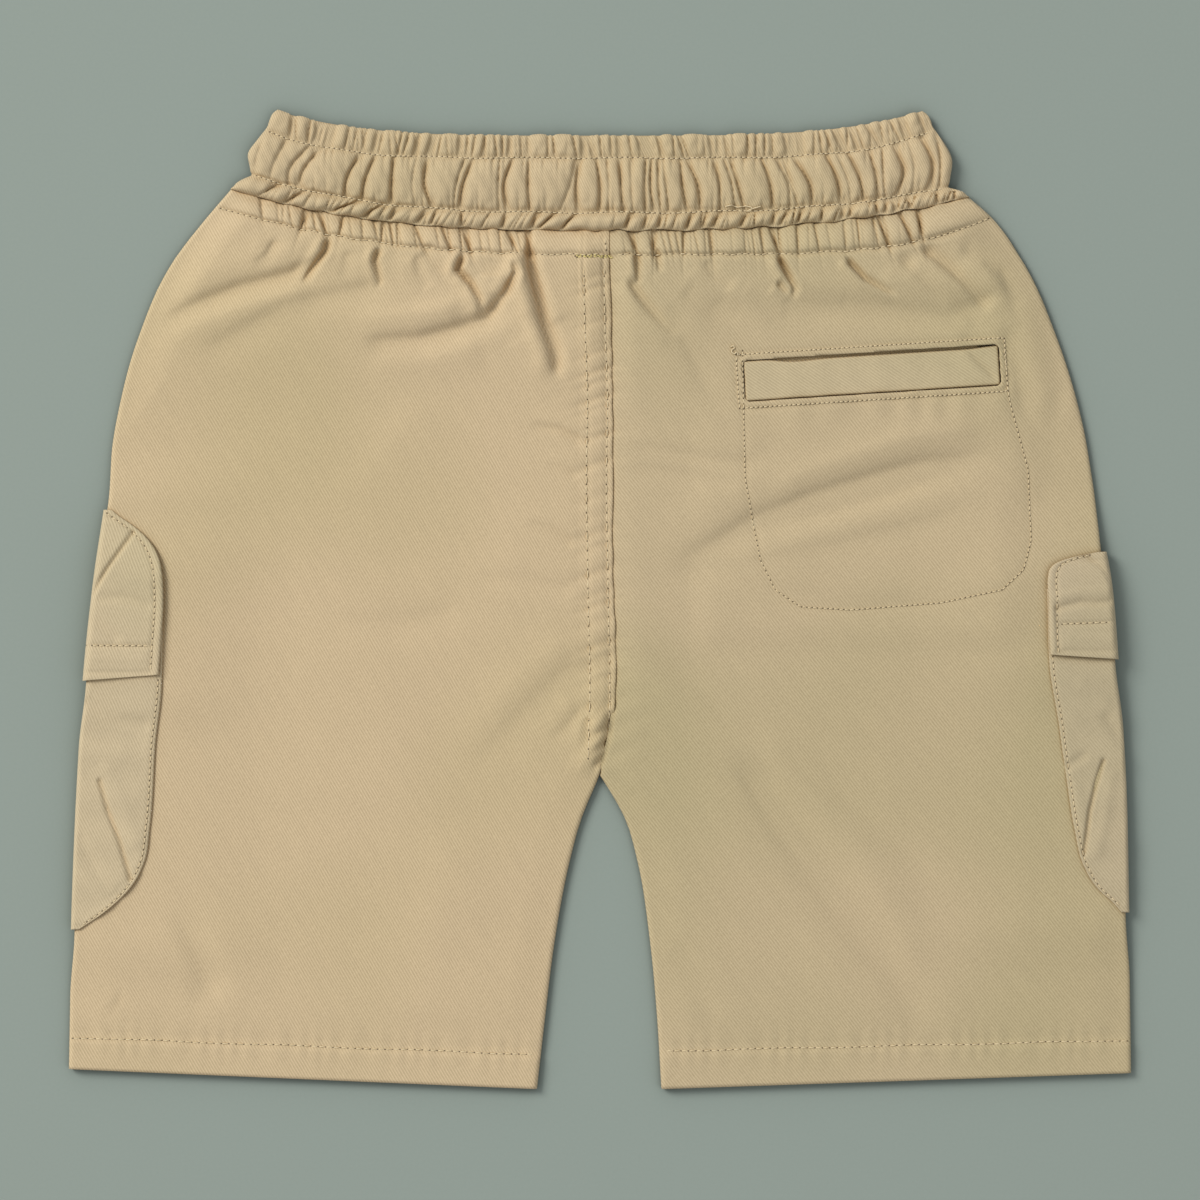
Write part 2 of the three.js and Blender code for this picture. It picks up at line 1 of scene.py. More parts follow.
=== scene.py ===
# %% [markdown]
# # Pull-on cargo shorts, laid flat
#
# The shorts are cotton twill, cut as four leg panels, a gathered waistband, a welt pocket on the
# right back and a cargo pocket with a flap on each side fold. They lie with the back side up.
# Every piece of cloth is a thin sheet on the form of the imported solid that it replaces, and the
# sewing on it is made stitch by stitch.

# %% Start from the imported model
import math
import random
from collections import namedtuple
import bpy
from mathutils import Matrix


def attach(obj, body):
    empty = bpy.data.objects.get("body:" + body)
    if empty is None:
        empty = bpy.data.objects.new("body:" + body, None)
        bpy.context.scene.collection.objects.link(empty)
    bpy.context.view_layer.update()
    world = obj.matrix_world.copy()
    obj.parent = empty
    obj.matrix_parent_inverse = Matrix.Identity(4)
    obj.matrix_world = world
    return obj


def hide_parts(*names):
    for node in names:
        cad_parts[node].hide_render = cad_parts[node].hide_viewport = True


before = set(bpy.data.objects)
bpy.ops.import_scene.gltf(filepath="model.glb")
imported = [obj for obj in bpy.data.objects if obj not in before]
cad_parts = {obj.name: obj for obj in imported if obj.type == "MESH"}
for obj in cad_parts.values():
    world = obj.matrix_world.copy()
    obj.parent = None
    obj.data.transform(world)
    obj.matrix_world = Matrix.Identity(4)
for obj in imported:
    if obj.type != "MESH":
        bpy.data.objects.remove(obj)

from types import SimpleNamespace

import bmesh
import bpy
import numpy as np
from mathutils import Vector
from mathutils.bvhtree import BVHTree

bpy.ops.object.select_all(action="DESELECT")
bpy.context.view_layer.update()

# %% [markdown]
# ## Sizes
#
# All sizes are in millimetres and become metres only when a mesh is made. Z is the height above the
# table. X is the distance from the middle of the shorts and Y runs from the hems to the waist. The
# panels lie on each other in layers of one thickness, so a height is a count of layers and a fold.

# %% Cloth and layers
MM = 0.001
CLOTH = 1.0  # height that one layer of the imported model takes
LAYER = 1.3  # height of a layer with the air over it
TWILL_THICKNESS = 0.6  # what the twill itself measures
MIDDLE_HEIGHT = 1.15  # where back and front meet at a fold
GAP = 0.3  # between two panels at a seam
STEP_UP = 22.0  # length over which a layer climbs on to the next one
CROTCH_Y = -61.3
LEG_TOP_Y = 57.0  # the rows are closer together above this
SIDE_LINE = 150.0  # the cargo pockets lie outside this
BAG_LINE = 141.0  # the back pocket's bag lies inside this
LAP_WIDTH = 10.0
SEAM_ROWS = (2.2, 9.2)  # rows of stitches, from the edge of the lapped centre seam
LEG_PUFF = 0.7  # how far a back panel stands clear of the front one, down the leg
WAIST_PUFF = 2.5  # and where it is gathered
UNDERLAP = 1.6  # how far the right back panel runs on under the lapped seam
FRONT_HALF = 28.0  # width of a flap's front half

# %% [markdown]
# The outline of each leg is a short table of places, read on a smooth curve. A seam under the waist
# is a shallow bowl: it has its height in the middle and rises towards the side folds.

# %% The legs
Seam = namedtuple("Seam", "middle rise power half")

CENTRE_SEAM = [(-61.3, 0), (-43, 4.9), (-27, 5.7), (14, 4.6), (53, 4.7), (93, 4.2), (131, 3.2)]

LEFT = SimpleNamespace(
    side=-1,
    outline=[(-164, 185.7), (-105, 184.5), (-63, 182.7), (-21, 179.9), (7, 176.8), (35, 172.9),
             (63, 169), (91, 161.7), (119, 148.8), (132.3, 138.6), (143.5, 129)],
    inseam=[(-170.8, 22), (-147, 19.3), (-119, 15.8), (-91, 10.5), (-77, 6.7), (-61.3, 0.15)],
    hem=(-163.8, -170.8),
    hem_stitch=(-152.8, -158.8),
    topstitch=Seam(120.5, 17, 2.5, 134.8),
    join=Seam(129, 14.5, 2.8, 129),
    flap=(31.5, -28.2),
    flap_free_bottom=-26,
    pocket=(8, -115),
    flap_shape=[(31.5, 3), (29, 6.5), (25.9, 11.5), (22.5, 16), (18.9, 19.5), (14.5, 22.3), (9.8, 24),
                (4.5, 25.1), (-0.7, 25.8), (-14, 26.5), (-28.2, 27)],
    pocket_shape=[(8, 23), (-26.6, 26.6), (-54, 27), (-79, 26.6), (-92, 25), (-100.5, 20.6),
                  (-110.2, 10.2), (-115, 3)],
    twill_angle=-60,
)

RIGHT = SimpleNamespace(
    side=1,
    outline=[(-166, 185.7), (-105, 184.8), (-63, 183.8), (-21, 181), (7, 178.5), (35, 173.3),
             (63, 168.4), (91, 160), (119, 147.4), (134.4, 136.2), (140.7, 129)],
    inseam=[(-170.8, 21.4), (-147, 20), (-119, 17.4), (-91, 13), (-77, 9), (-61.3, 0.15)],
    hem=(-165.2, -170.8),
    hem_stitch=(-153.8, -157.6),
    topstitch=Seam(120.5, 12.7, 5, 135.6),
    join=Seam(129, 11.7, 2.8, 129),
    flap=(16.8, -20.7),
    flap_free_bottom=-19,
    pocket=(4, -109),
    flap_shape=[(16.8, 3), (15.6, 9.5), (14.3, 15), (13, 18.6), (11, 21.2), (8.5, 22.3), (0, 23.2),
                (-9.5, 24), (-20.7, 24.3)],
    pocket_shape=[(4, 22), (-22, 23.3), (-60.9, 21.3), (-79.8, 19), (-93.1, 15.8), (-100.5, 11.4),
                  (-106, 5.5), (-109, 3)],
    twill_angle=-52,
)


def ramp(value, zero_at, one_at):
    """Climbs softly from 0 at one value to 1 at the other."""
    share = np.clip((value - zero_at) / (one_at - zero_at), 0, 1)
    return share * share * (3 - 2 * share)


def read(table, at):
    """The value of a table of (place, value) rows at each place, on a smooth curve through them."""
    places, values = np.array(sorted(table), float).T
    slopes = np.gradient(values, places)
    at = np.clip(at, places[0], places[-1])
    i = np.clip(np.searchsorted(places, at) - 1, 0, len(places) - 2)
    span = places[i + 1] - places[i]
    t = (at - places[i]) / span
    start = (1 + 2 * t) * (1 - t) ** 2 * values[i] + t * (1 - t) ** 2 * span * slopes[i]
    end = t * t * (3 - 2 * t) * values[i + 1] - t * t * (1 - t) * span * slopes[i + 1]
    return start + end


def wraps(leg, y):
    """How many layers wrap round the side fold at a height: a pocket, a flap, both or none."""
    under_pocket = ramp(y, leg.pocket[1] - 2 - STEP_UP, leg.pocket[1] - 2)
    under_pocket *= ramp(y, leg.pocket[0] + 1 + STEP_UP, leg.pocket[0] + 1)
    under_flap = ramp(y, leg.flap[1] - 2 - STEP_UP, leg.flap[1] - 2)
    under_flap *= ramp(y, leg.flap[0] + 2 + STEP_UP, leg.flap[0] + 2)
    return under_pocket + under_flap


def panel_edge(leg, y):
    return read(leg.outline, y) - LAYER * wraps(leg, y)


def inner_edge(leg, y):
    sway = 0.15 * np.sin(y * 0.37 + 2.5 * np.sin(y * 0.083))
    above = leg.side * (read(CENTRE_SEAM, y) + sway) + GAP / 2
    return np.where(y < CROTCH_Y, read(leg.inseam, y), above)


def seam_wave(seam, d):
    """Gathered cloth pulls a seam a little up and down."""
    return 0.3 * np.sin(d * 0.5 + 1.7 * np.sin(d * 0.13) + seam.middle) * ramp(np.abs(d), 126, 108)


def seam_height(seam, d):
    return seam.middle + seam.rise * np.abs(d / seam.half) ** seam.power + seam_wave(seam, d)


for leg in (LEFT, RIGHT):
    print("outline at the hem", read(leg.outline, -160).round(1), "layers at the flap", wraps(leg, 0))

# %% [markdown]
# ## Creases
#
# A crease is a trough or ridge along a line of points that fades towards its far end. Cloth rolls
# over into a crease from one side, so that bank is steep, with a raised lip behind it, and the other
# bank is soft. The list is the creases that show, each as long, deep and wide as it looks.

# %% Creases of the back panels
Crease = namedtuple("Crease", "path width height fade", defaults=[0.75])

CREASES = [
    # from the waist down the left panel
    Crease([(-25.3, 127), (-24.5, 116), (-22, 106.4), (-19.6, 96.6), (-16.5, 87.9), (-14.7, 76)],
           2, -4, 0.5),
    Crease([(-30.5, 122), (-28.5, 110), (-25, 97)], 3.6, 1.3),
    Crease([(-18, 98), (-13, 88), (-6, 77)], 5, -0.9),
    Crease([(-47.6, 122), (-50, 115.3), (-45.2, 110.4), (-42, 104.7), (-41, 97)], 1.1, -2.5),
    Crease([(-31.2, 119.4), (-29.4, 114.5), (-33.3, 107.5), (-38.2, 101.5), (-41, 97)], 1.4, -2.1),
    Crease([(-39, 114), (-39, 106)], 4, 1),
    Crease([(-33, 106), (-41, 98), (-52, 94.5), (-63, 91.5), (-84, 90)], 3.2, -1.9, 0.6),
    Crease([(-48, 103), (-66, 99.5), (-88, 98)], 4.5, 0.9),
    Crease([(-40, 90), (-60, 83), (-82, 82)], 5, 0.6),
    Crease([(-62, 124), (-56, 116), (-49, 111)], 2.6, -1),
    Crease([(-77.4, 123.2), (-78.8, 118.3), (-76.3, 109)], 1, -1.9),
    Crease([(-95.3, 127), (-96, 122), (-101, 115.3), (-104, 110)], 1.1, -2.3),
    Crease([(-96.6, 119.7), (-108, 114), (-126, 109.2), (-142, 103), (-157, 95)], 3.4, -2, 0.5),
    Crease([(-100, 110), (-124, 102), (-150, 92)], 5, 1, 0.6),
    Crease([(-71.4, 111.3), (-90, 107), (-109.2, 102.9), (-142.8, 84)], 4, -0.9),
    Crease([(-113, 126), (-116, 120), (-121, 117)], 2, -0.9),
    Crease([(-64, 121), (-63, 114), (-60, 108)], 2.2, -0.8),
    Crease([(-88, 122), (-89, 112)], 2.4, -0.6),
    # across the left panel
    Crease([(-5.5, 55.5), (-14, 59.8), (-25, 61.5)], 1.5, -0.9),
    Crease([(-7, 43), (-13, 46), (-19, 48)], 1.5, -0.6),
    Crease([(-8, 19.5), (-18, 25), (-26, 27.5)], 1.8, -0.7),
    Crease([(-7, 3), (-25, 7), (-45, 8.5)], 3, -0.5),
    Crease([(-46, -2), (-68, -8), (-90, -8), (-116, 3)], 5, -0.45),
    Crease([(-5, -19), (-14, -27), (-25, -38), (-44, -59)], 5.5, -0.6, 0.6),
    Crease([(-10, -12), (-30, -30), (-50, -52)], 6, 0.4),
    Crease([(-6, -38), (-18, -50)], 2.2, -0.6),
    Crease([(-48, -76), (-56, -112), (-62, -152)], 17, 0.5, 0.2),
    Crease([(-155, -82), (-144, -117.6), (-134, -140)], 3.4, -1, 0.4),
    Crease([(-143, -88), (-131, -120), (-122, -142)], 6, 0.6, 0.3),
    Crease([(-144, -140), (-130, -132), (-118, -136)], 5, -0.4),
    Crease([(-166.3, -137.6), (-175, -147.7)], 0.9, -0.5),
    Crease([(-40, -120), (-70, -60), (-90, 10)], 16, 0.5),
    Crease([(-120, -110), (-128, -40), (-120, 30)], 18, -0.4),
    Crease([(-24, 40), (-36, -10), (-30, -60)], 13, 0.4),
    Crease([(-60, 70), (-82, 40), (-96, 36)], 10, 0.5),
    # from the waist down the right panel
    Crease([(12.3, 121), (13.3, 110)], 1, -1.9),
    Crease([(9.1, 113), (14.4, 105), (20.7, 97.7), (27.7, 91.5)], 2, -1.9),
    Crease([(24, 104), (33, 84), (43, 62)], 4, -0.8),
    Crease([(19.6, 123), (20.7, 114)], 1, -1.5),
    Crease([(36, 119), (40, 113), (52, 107)], 2.6, -0.8),
    Crease([(61.6, 120.4), (65, 114), (67.8, 108.9), (66.7, 104)], 1.1, -2.5),
    Crease([(61.6, 111), (66.9, 105.9)], 1.4, -1.4),
    Crease([(64, 108), (74, 106), (86, 104)], 3.4, 0.8),
    Crease([(86.1, 120.4), (87.2, 117.3), (92.4, 112), (104, 106)], 1.1, -2),
    Crease([(44, 110), (52, 102), (59.5, 95)], 3, 0.8),
    Crease([(28, 108), (40, 101), (50, 97)], 4, -0.6),
    Crease([(144, 108), (121.8, 98.7), (84, 103), (58.8, 110)], 5, -1.2, 0.5),
    Crease([(132, 92), (104, 93), (72, 97)], 4.5, 0.7, 0.5),
    Crease([(102.6, 121.3), (110, 115), (119, 107), (134, 97)], 3.6, -1.3, 0.4),
    Crease([(111, 124), (118, 119), (123, 115), (129, 109), (137, 101)], 3, -2.9, 0.4),
    Crease([(124, 122), (134, 120), (142, 113), (148, 101)], 4, -1.1, 0.3),
    Crease([(112, 122), (124, 114), (134, 104), (142, 92)], 3.4, 0.6),
    Crease([(140, 118), (144, 104), (148, 92)], 2.6, -0.7),
    # across the pocket's bag and the right leg
    Crease([(148, 52), (114, 46.5), (95, 41), (72.4, 34.2), (53.4, 27.4), (24, 10)], 5.4, -3, 0.6),
    Crease([(141, 40), (114, 35.5), (86, 27), (54, 15)], 6, 0.6, 0.5),
    Crease([(141, 98), (147, 72), (151, 40)], 3.5, -1, 0.3),
    Crease([(136, 60), (106, 56), (76, 46), (56, 37)], 5, 1.2, 0.5),
    Crease([(138.6, 37), (117.6, 28), (84, 20), (50.4, 12), (18.9, 9)], 3.6, -0.5, 0.4),
    Crease([(126, 0), (84, -2.1), (58.8, 4.2), (29.4, 12.6)], 5, -0.6),
    Crease([(58, 58), (100, 66), (142, 66)], 15, 0.9, 0.2),
    Crease([(58.8, 48.3), (42, 48.8), (8.4, 54.6)], 2.6, -0.6, 0.3),
    Crease([(50, 40), (30, 44), (8, 47)], 2.8, -0.5, 0.3),
    Crease([(12.6, -12.6), (42, -37.8), (84, -67.2), (122, -101)], 6, -0.8, 0.3),
    Crease([(46, -52), (84, -109.2), (100.8, -130.2), (118, -153)], 6, -1.3, 0.2),
    Crease([(50, -44), (92, -90), (114, -132)], 6, 0.7, 0.4),
    Crease([(23, -122), (42, -147)], 5, -0.7),
    Crease([(154, 12), (152, -30), (151, -84), (153, -120)], 2.6, -0.5, 0.3),
    Crease([(172.2, 53), (174, 36), (175.4, 18)], 1.6, -0.5),
    Crease([(60, -130), (80, -80), (90, -40)], 16, -0.3),
    Crease([(20, 20), (34, -20), (30, -60)], 12, -0.3),
]

# A deep fold at the edge of the lapped seam, just above the crotch, with short ripples beside it.
BUNCHES = [
    Crease([(4.6, -38), (3.4, -48), (1.2, -60)], 2.4, -1.9, 0.1),
    Crease([(4.6, -35.5), (-2, -39)], 1.1, -0.5, 0.2),
    Crease([(4, -42.5), (-3.4, -48)], 1.2, -0.9, 0.2),
    Crease([(3, -48.5), (-3, -53.5)], 1, -0.8, 0.2),
    Crease([(1.5, -54), (-2.6, -58)], 1.1, -0.7, 0.2),
    Crease([(-4, -40), (-5.2, -52)], 1.4, -1, 0.4),
]


def along_path(path, x, y):
    """Distance from a path of points, how far along it the nearest place lies, from 0 to 1, and
    on which side of it: 1 on the left of someone who walks along it, and -1 on the right."""
    points = np.array(path, float)
    pieces = np.hypot(*np.diff(points, axis=0).T)
    starts = np.concatenate([[0], np.cumsum(pieces)]) / pieces.sum()
    nearest = np.full(np.shape(x), np.inf)
    share = np.zeros(np.shape(x))
    side = np.ones(np.shape(x))
    for i, length in enumerate(pieces):
        step = (points[i + 1] - points[i]) / length
        dx, dy = x - points[i][0], y - points[i][1]
        reach = np.clip(dx * step[0] + dy * step[1], 0, length)
        distance = np.hypot(dx - reach * step[0], dy - reach * step[1])
        closer = distance < nearest
        nearest = np.where(closer, distance, nearest)
        share = np.where(closer, starts[i] + reach / length * (starts[i + 1] - starts[i]), share)
        side = np.where(closer, np.sign(step[0] * dy - step[1] * dx), side)
    return nearest, share, side


def crease_height(crease, x, y):
    distance, share, side = along_path(crease.path, x, y)
    width = crease.width * np.where(side > 0, 1.45, 0.65)
    trough = np.exp(-((distance / width) ** 2))
    lip = np.exp(-(((distance - 2.2 * crease.width) / (1.4 * crease.width)) ** 2))
    strength = (1 - crease.fade * share**1.5) * ramp(share, 0, 0.15) * ramp(share, 1, 0.85)
    return crease.height * strength * (trough - lip * np.where(side > 0, 0.1, 0.4))


print(len(CREASES), "creases, the longest in", max(len(crease.path) for crease in CREASES), "points")

# %% [markdown]
# ## Gathers
#
# Gathers are what elastic does to a seam: the cloth is pushed together into small steep tucks, never evenly.
# The strong ones are listed one by one. The many small ones between them come from a seeded draw, so that
# they are uneven in spacing, depth and width and yet the same on each run.

# %% Gathers
Tuck = namedtuple("Tuck", "foot top depth width end", defaults=[1])
TUCK_REACH = 3.4  # over what length a tuck dies out beyond its seam


def small_tucks(start, stop, spacing, depth, width, lean, seed):
    draw = random.Random(seed)
    tucks = []
    x = start
    while x < stop:
        shift = lean * draw.uniform(0.5, 1.4) + draw.uniform(-0.7, 0.7)
        size = draw.uniform(0.2, 1)
        wider, end = draw.uniform(0.6, 1.4), draw.uniform(0.3, 1.2)
        tucks.append(Tuck(x, x + shift, depth * size, width * wider, end))
        x += spacing * draw.uniform(0.4, 1.7)
    return tucks


def cut(offset, width):
    """The section of a tuck: a narrow cut, steeper on its left, in a wide shallow valley."""
    narrow = np.exp(-np.abs(offset) / (width * np.where(offset < 0, 0.5, 1.1)))
    return 0.9 * narrow + 0.25 * np.exp(-((offset / (4 * width)) ** 2))


def tuck_depth(tucks, x, share):
    """How deep the tucks cut in at x, at a share of the way from their foot to their top. end is
    how much of a tuck's depth is left at its top."""
    total = np.zeros(np.shape(x))
    for tuck in tucks:
        depth = tuck.depth * (1 - (1 - tuck.end) * np.clip(share, 0, 1))
        total += depth * cut(x - tuck.foot - (tuck.top - tuck.foot) * share, tuck.width)
    return total


# On the strip between the topstitch and the waistband, from the topstitch up.
STRIP_TUCKS = [
    Tuck(-117.6, -118.7, 1.0, 0.9), Tuck(-104.6, -102.7, 2.2, 0.9), Tuck(-95.5, -98.4, 2.2, 0.9),
    Tuck(-91, -89.8, 1.3, 0.7), Tuck(-76.3, -76, 1.4, 0.7), Tuck(-72.1, -73.7, 1.2, 0.7),
    Tuck(-61.6, -64.8, 1.3, 0.7), Tuck(-52.2, -55.3, 1.3, 0.7), Tuck(-45.2, -48, 2.1, 0.9),
    Tuck(-28.7, -32.6, 1.5, 0.8), Tuck(-24.5, -25.2, 2.9, 1.2), Tuck(13, 10.2, 2.1, 0.8),
    Tuck(18.6, 18.6, 2.3, 1.0), Tuck(29, 29, 1.4, 0.7), Tuck(39.2, 38.3, 1.2, 0.7),
    Tuck(57, 55.7, 1.2, 0.7), Tuck(62.3, 59.3, 2.3, 0.9), Tuck(69, 68.6, 1.2, 0.7),
    Tuck(100.5, 96.8, 2.0, 0.8), Tuck(108.9, 104.3, 2.0, 0.8), Tuck(112.7, 110.6, 1.8, 0.8),
]
STRIP_FINE = [
    *small_tucks(-112, -27, 3.1, 1.0, 0.5, -1.2, 3),
    *small_tucks(9, 112, 3.1, 1.0, 0.5, -1.2, 4),
]
print(len(STRIP_TUCKS), "strong and", len(STRIP_FINE), "small tucks on the strip")

# %% [markdown]
# ## Making a sheet of cloth
#
# A sheet is a grid of points that follows the cloth's own rows and columns. It is made by code,
# because each height comes from the rules above. The Solidify modifier then gives it the twill's
# thickness, and a map in millimetres, turned to the twill's diagonal, carries the weave.

# %% Grid to mesh
def grid_faces(rows, columns, flipped):
    corner = (np.arange(rows - 1)[:, None] * columns + np.arange(columns - 1)).ravel()
    quads = np.stack([corner, corner + 1, corner + columns + 1, corner + columns], axis=1)
    return quads[:, ::-1] if flipped else quads


def face_normals(points, quads):
    corners = points[quads]
    return np.cross(corners[:, 2] - corners[:, 0], corners[:, 3] - corners[:, 1])


def faces_up(points, quads):
    return face_normals(points, quads)[:, 2].sum() > 0


def faces_out(points, quads):
    """Whether the faces of a sheet that wraps round something point away from what is inside."""
    centres = points[quads].mean(axis=1)
    from_middle = centres[:, 2] - (centres[:, 2].min() + centres[:, 2].max()) / 2
    return (face_normals(points, quads)[:, 2] * from_middle).sum() > 0


def turned(across, along, angle):
    """Map coordinates whose first axis runs square to twill lines that lie at an angle."""
    a = math.radians(angle)
    return np.stack([-across * math.sin(a) + along * math.cos(a),
                     across * math.cos(a) + along * math.sin(a)], axis=-1)


def new_object(name, data):
    thing = bpy.data.objects.new(name, data)
    bpy.context.scene.collection.objects.link(thing)
    return thing


def make_mesh(name, points, faces, weave):
    """A new object from points in mm, faces and each point's place in the weave."""
    mesh = bpy.data.meshes.new(name)
    mesh.from_pydata((points * MM).tolist(), [], faces if isinstance(faces, list) else faces.tolist())
    layer = mesh.uv_layers.new(name="weave")
    corner_points = np.empty(len(mesh.loops), dtype=np.int32)
    mesh.loops.foreach_get("vertex_index", corner_points)
    layer.data.foreach_set("uv", weave[corner_points].astype(np.float32).ravel())
    mesh.validate()
    return new_object(name, mesh)


def sheet_from_grid(name, x, y, z, weave, facing="up"):
    """One skin of cloth through a grid of points. It faces up, down, or out of its own fold."""
    points = np.stack([x, y, z], axis=-1).reshape(-1, 3)
    rows, columns = x.shape
    quads = grid_faces(rows, columns, False)
    if facing == "out":
        flipped = not faces_out(points, quads)
    else:
        flipped = faces_up(points, quads) != (facing == "up")
    if flipped:
        quads = grid_faces(rows, columns, True)
    return make_mesh(name, points, quads, weave.reshape(-1, 2))


def select_only(piece):
    bpy.ops.object.select_all(action="DESELECT")
    piece.select_set(True)
    bpy.context.view_layer.objects.active = piece


def smooth(piece):
    select_only(piece)
    bpy.ops.object.shade_smooth()
    return piece


def thicken(piece):
    """Gives a skin the twill's thickness on its inside."""
    select_only(piece)
    bpy.ops.object.modifier_add(type="SOLIDIFY")
    solidify = piece.modifiers[-1]
    solidify.thickness = TWILL_THICKNESS * MM
    solidify.offset = -1
    bpy.ops.object.modifier_apply(modifier=solidify.name)
    return smooth(piece)


def triangles(piece):
    return sum(len(polygon.vertices) - 2 for polygon in piece.data.polygons)


# %% [markdown]
# ## The back panels
#
# These are the two large pieces that show. Their rows follow the hem, its stitching, the topstitch
# under the waist and the seam of the waistband. At the side folds and inseams the edge rolls down
# to meet the front panel. The left panel laps over the right one at the centre seam.

# %% Rows and columns of a panel
ROLL = 1.7  # width of a rolled edge
PANEL_WIDTH = 165  # about the width of a leg panel, for spacing its columns
BACK_ROWS, BACK_PANEL_COLUMNS = (10, 34, 90, 70, 17), 144
FRONT_ROWS, FRONT_PANEL_COLUMNS = (3, 20, 26, 22, 6), 52
FINE_ROWS = 34
EDGE_COLUMNS = np.array([0, 0.12, 0.4, 0.85, 1.4, 2.1, 3])


def panel_columns(count):
    """Shares of a panel's width, close together at its two edges."""
    near, first = EDGE_COLUMNS / PANEL_WIDTH, 4 / PANEL_WIDTH
    return np.concatenate([near, np.linspace(first, 1 - first, count), 1 - near[::-1]])


def panel_rows(leg, columns, counts):
    """Heights of the rows, with so many of them between each two of these lines: the hem, its
    stitching, the crotch, the top of the leg, the topstitch and the waistband's seam."""
    hem = leg.hem[0] + (leg.hem[1] - leg.hem[0]) * columns
    stitch = leg.hem_stitch[0] + (leg.hem_stitch[1] - leg.hem_stitch[0]) * columns
    lines = [hem, stitch, *(np.full(columns.shape, level) for level in (CROTCH_Y, LEG_TOP_Y))]
    for seam in (leg.topstitch, leg.join):
        inner = inner_edge(leg, seam.middle)
        lines.append(seam_height(seam, seam.half + (inner - seam.half) * columns))
    rows = [hem]
    for lower, upper, count in zip(lines, lines[1:], counts):
        rows += [lower + (upper - lower) * i / count for i in range(1, count + 1)]
    return np.array(rows)


def underlap(leg, y):
    return UNDERLAP * ramp(y, CROTCH_Y + 1, CROTCH_Y + 6) if leg is RIGHT else 0


def finer(columns):
    """The columns with two more between each pair, for rows whose creases are narrow."""
    steps = np.diff(columns)[:, None] * np.array([0, 1 / 3, 2 / 3])
    return np.append((columns[:-1, None] + steps).ravel(), columns[-1])


def panel_grid(leg, columns, counts):
    y = panel_rows(leg, columns, counts)
    outer = panel_edge(leg, y[:, 0])[:, None]
    inner = (inner_edge(leg, y[:, -1]) - underlap(leg, y[:, -1]))[:, None]
    return outer + (inner - outer) * columns, y, outer, inner


def rolled(distance, radius, width=ROLL):
    """How far an edge has rolled down at a distance from it."""
    share = np.clip(1 - distance / width, 0, 1)
    return radius * (1 - np.sqrt(1 - share * share))


# %% [markdown]
# The pocket's bag lies under the right panel and lifts it by a layer. Its window is a long slot with
# small round corners, cut level with the welt.

# %% Window and bag of the back pocket
WINDOW = SimpleNamespace(x=94.9, y=79.2, width=89.6, height=14.5, tilt=3.65, corner=2)
BAG = SimpleNamespace(left=47, right=139, bottom=-2, top=93, corner=18)
BAG_STITCH = [
    (49.7, 87), (50.7, 42), (56, 14), (61.2, 3.5), (70, -2.4), (87.5, -3.5), (119, -1),
    (140, 3.5), (147.7, 10.5), (150.5, 21), (149.5, 45.5), (142.8, 70), (141, 88),
]


def window_axes(x, y):
    """Places along and across the window, from its middle."""
    tilt = math.radians(WINDOW.tilt)
    dx, dy = x - WINDOW.x, y - WINDOW.y
    return dx * math.cos(tilt) + dy * math.sin(tilt), dy * math.cos(tilt) - dx * math.sin(tilt)


def from_window(along, across):
    tilt = math.radians(WINDOW.tilt)
    return (WINDOW.x + along * math.cos(tilt) - across * math.sin(tilt),
            WINDOW.y + along * math.sin(tilt) + across * math.cos(tilt))


def outside_window(x, y):
    """Distance outside the window's rounded rectangle, negative inside it."""
    along, across = window_axes(x, y)
    dx = np.abs(along) - (WINDOW.width / 2 - WINDOW.corner)
    dy = np.abs(across) - (WINDOW.height / 2 - WINDOW.corner)
    corner = np.hypot(np.maximum(dx, 0), np.maximum(dy, 0))
    return corner + np.minimum(np.maximum(dx, dy), 0) - WINDOW.corner


def over_bag(leg, d, y):
    """How far the bag lifts the right panel, as a share of a layer."""
    if leg is LEFT:
        return np.zeros(np.shape(d))
    side = BAG_LINE + 6 * ramp(y, 27, 45)
    across = ramp(d, BAG.left - 17, BAG.left - 6) * ramp(d, side + 13, side - 5)
    return across * ramp(y, BAG.bottom - 18, BAG.bottom - 6) * ramp(y, BAG.top + 19, BAG.top + 5)


# %% [markdown]
# The height of a back panel is its layers, plus how far it stands clear of the front panel, plus
# creases, plus what the sewing does: a groove at each row of stitches, a thicker hem, a lapped
# centre seam with puckers, and the gathered strip under the waistband.

# %% Height of a back panel
def puff(leg, d, y):
    outer, inner = panel_edge(leg, y), inner_edge(leg, y)
    # the leg lies flat where its cargo pocket holds it
    flat_side = ramp(d, BAG_LINE - 45, SIDE_LINE) * ramp(y, LEG_TOP_Y + 24, LEG_TOP_Y - 6)
    flat_side *= ramp(y, leg.pocket[1] - 16, leg.pocket[1] + 14)
    side = np.minimum(ramp(outer - d, 1, 16), 1 - flat_side)
    below_waistband = seam_height(leg.join, d) - y
    from_inner = d - inner + 5 * ramp(y, CROTCH_Y - 6, CROTCH_Y + 20)
    edges = side * ramp(from_inner, 0, 14) * ramp(y, -166, -140) * ramp(below_waistband, -1, 9)
    fullness = edges * (LEG_PUFF + (WAIST_PUFF - LEG_PUFF) * ramp(y, 60, 108))
    bag = over_bag(leg, d, y)
    return fullness + (LAYER - fullness) * bag, edges, bag


def creases_here(leg, d, y, edges, bag):
    x = leg.side * d
    total = sum(crease_height(crease, x, y) for crease in CREASES)
    return total * edges * (1 - 0.2 * bag) * ramp(seam_height(leg.join, d) - y, 1, 8)


def soft_floor(value, floor, softness=0.1):
    """The value, held above a floor without a sharp bend."""
    return floor + softness * np.logaddexp((value - floor) / softness, 0)


def groove(distance, depth, width):
    return -depth * np.exp(-((distance / width) ** 2))


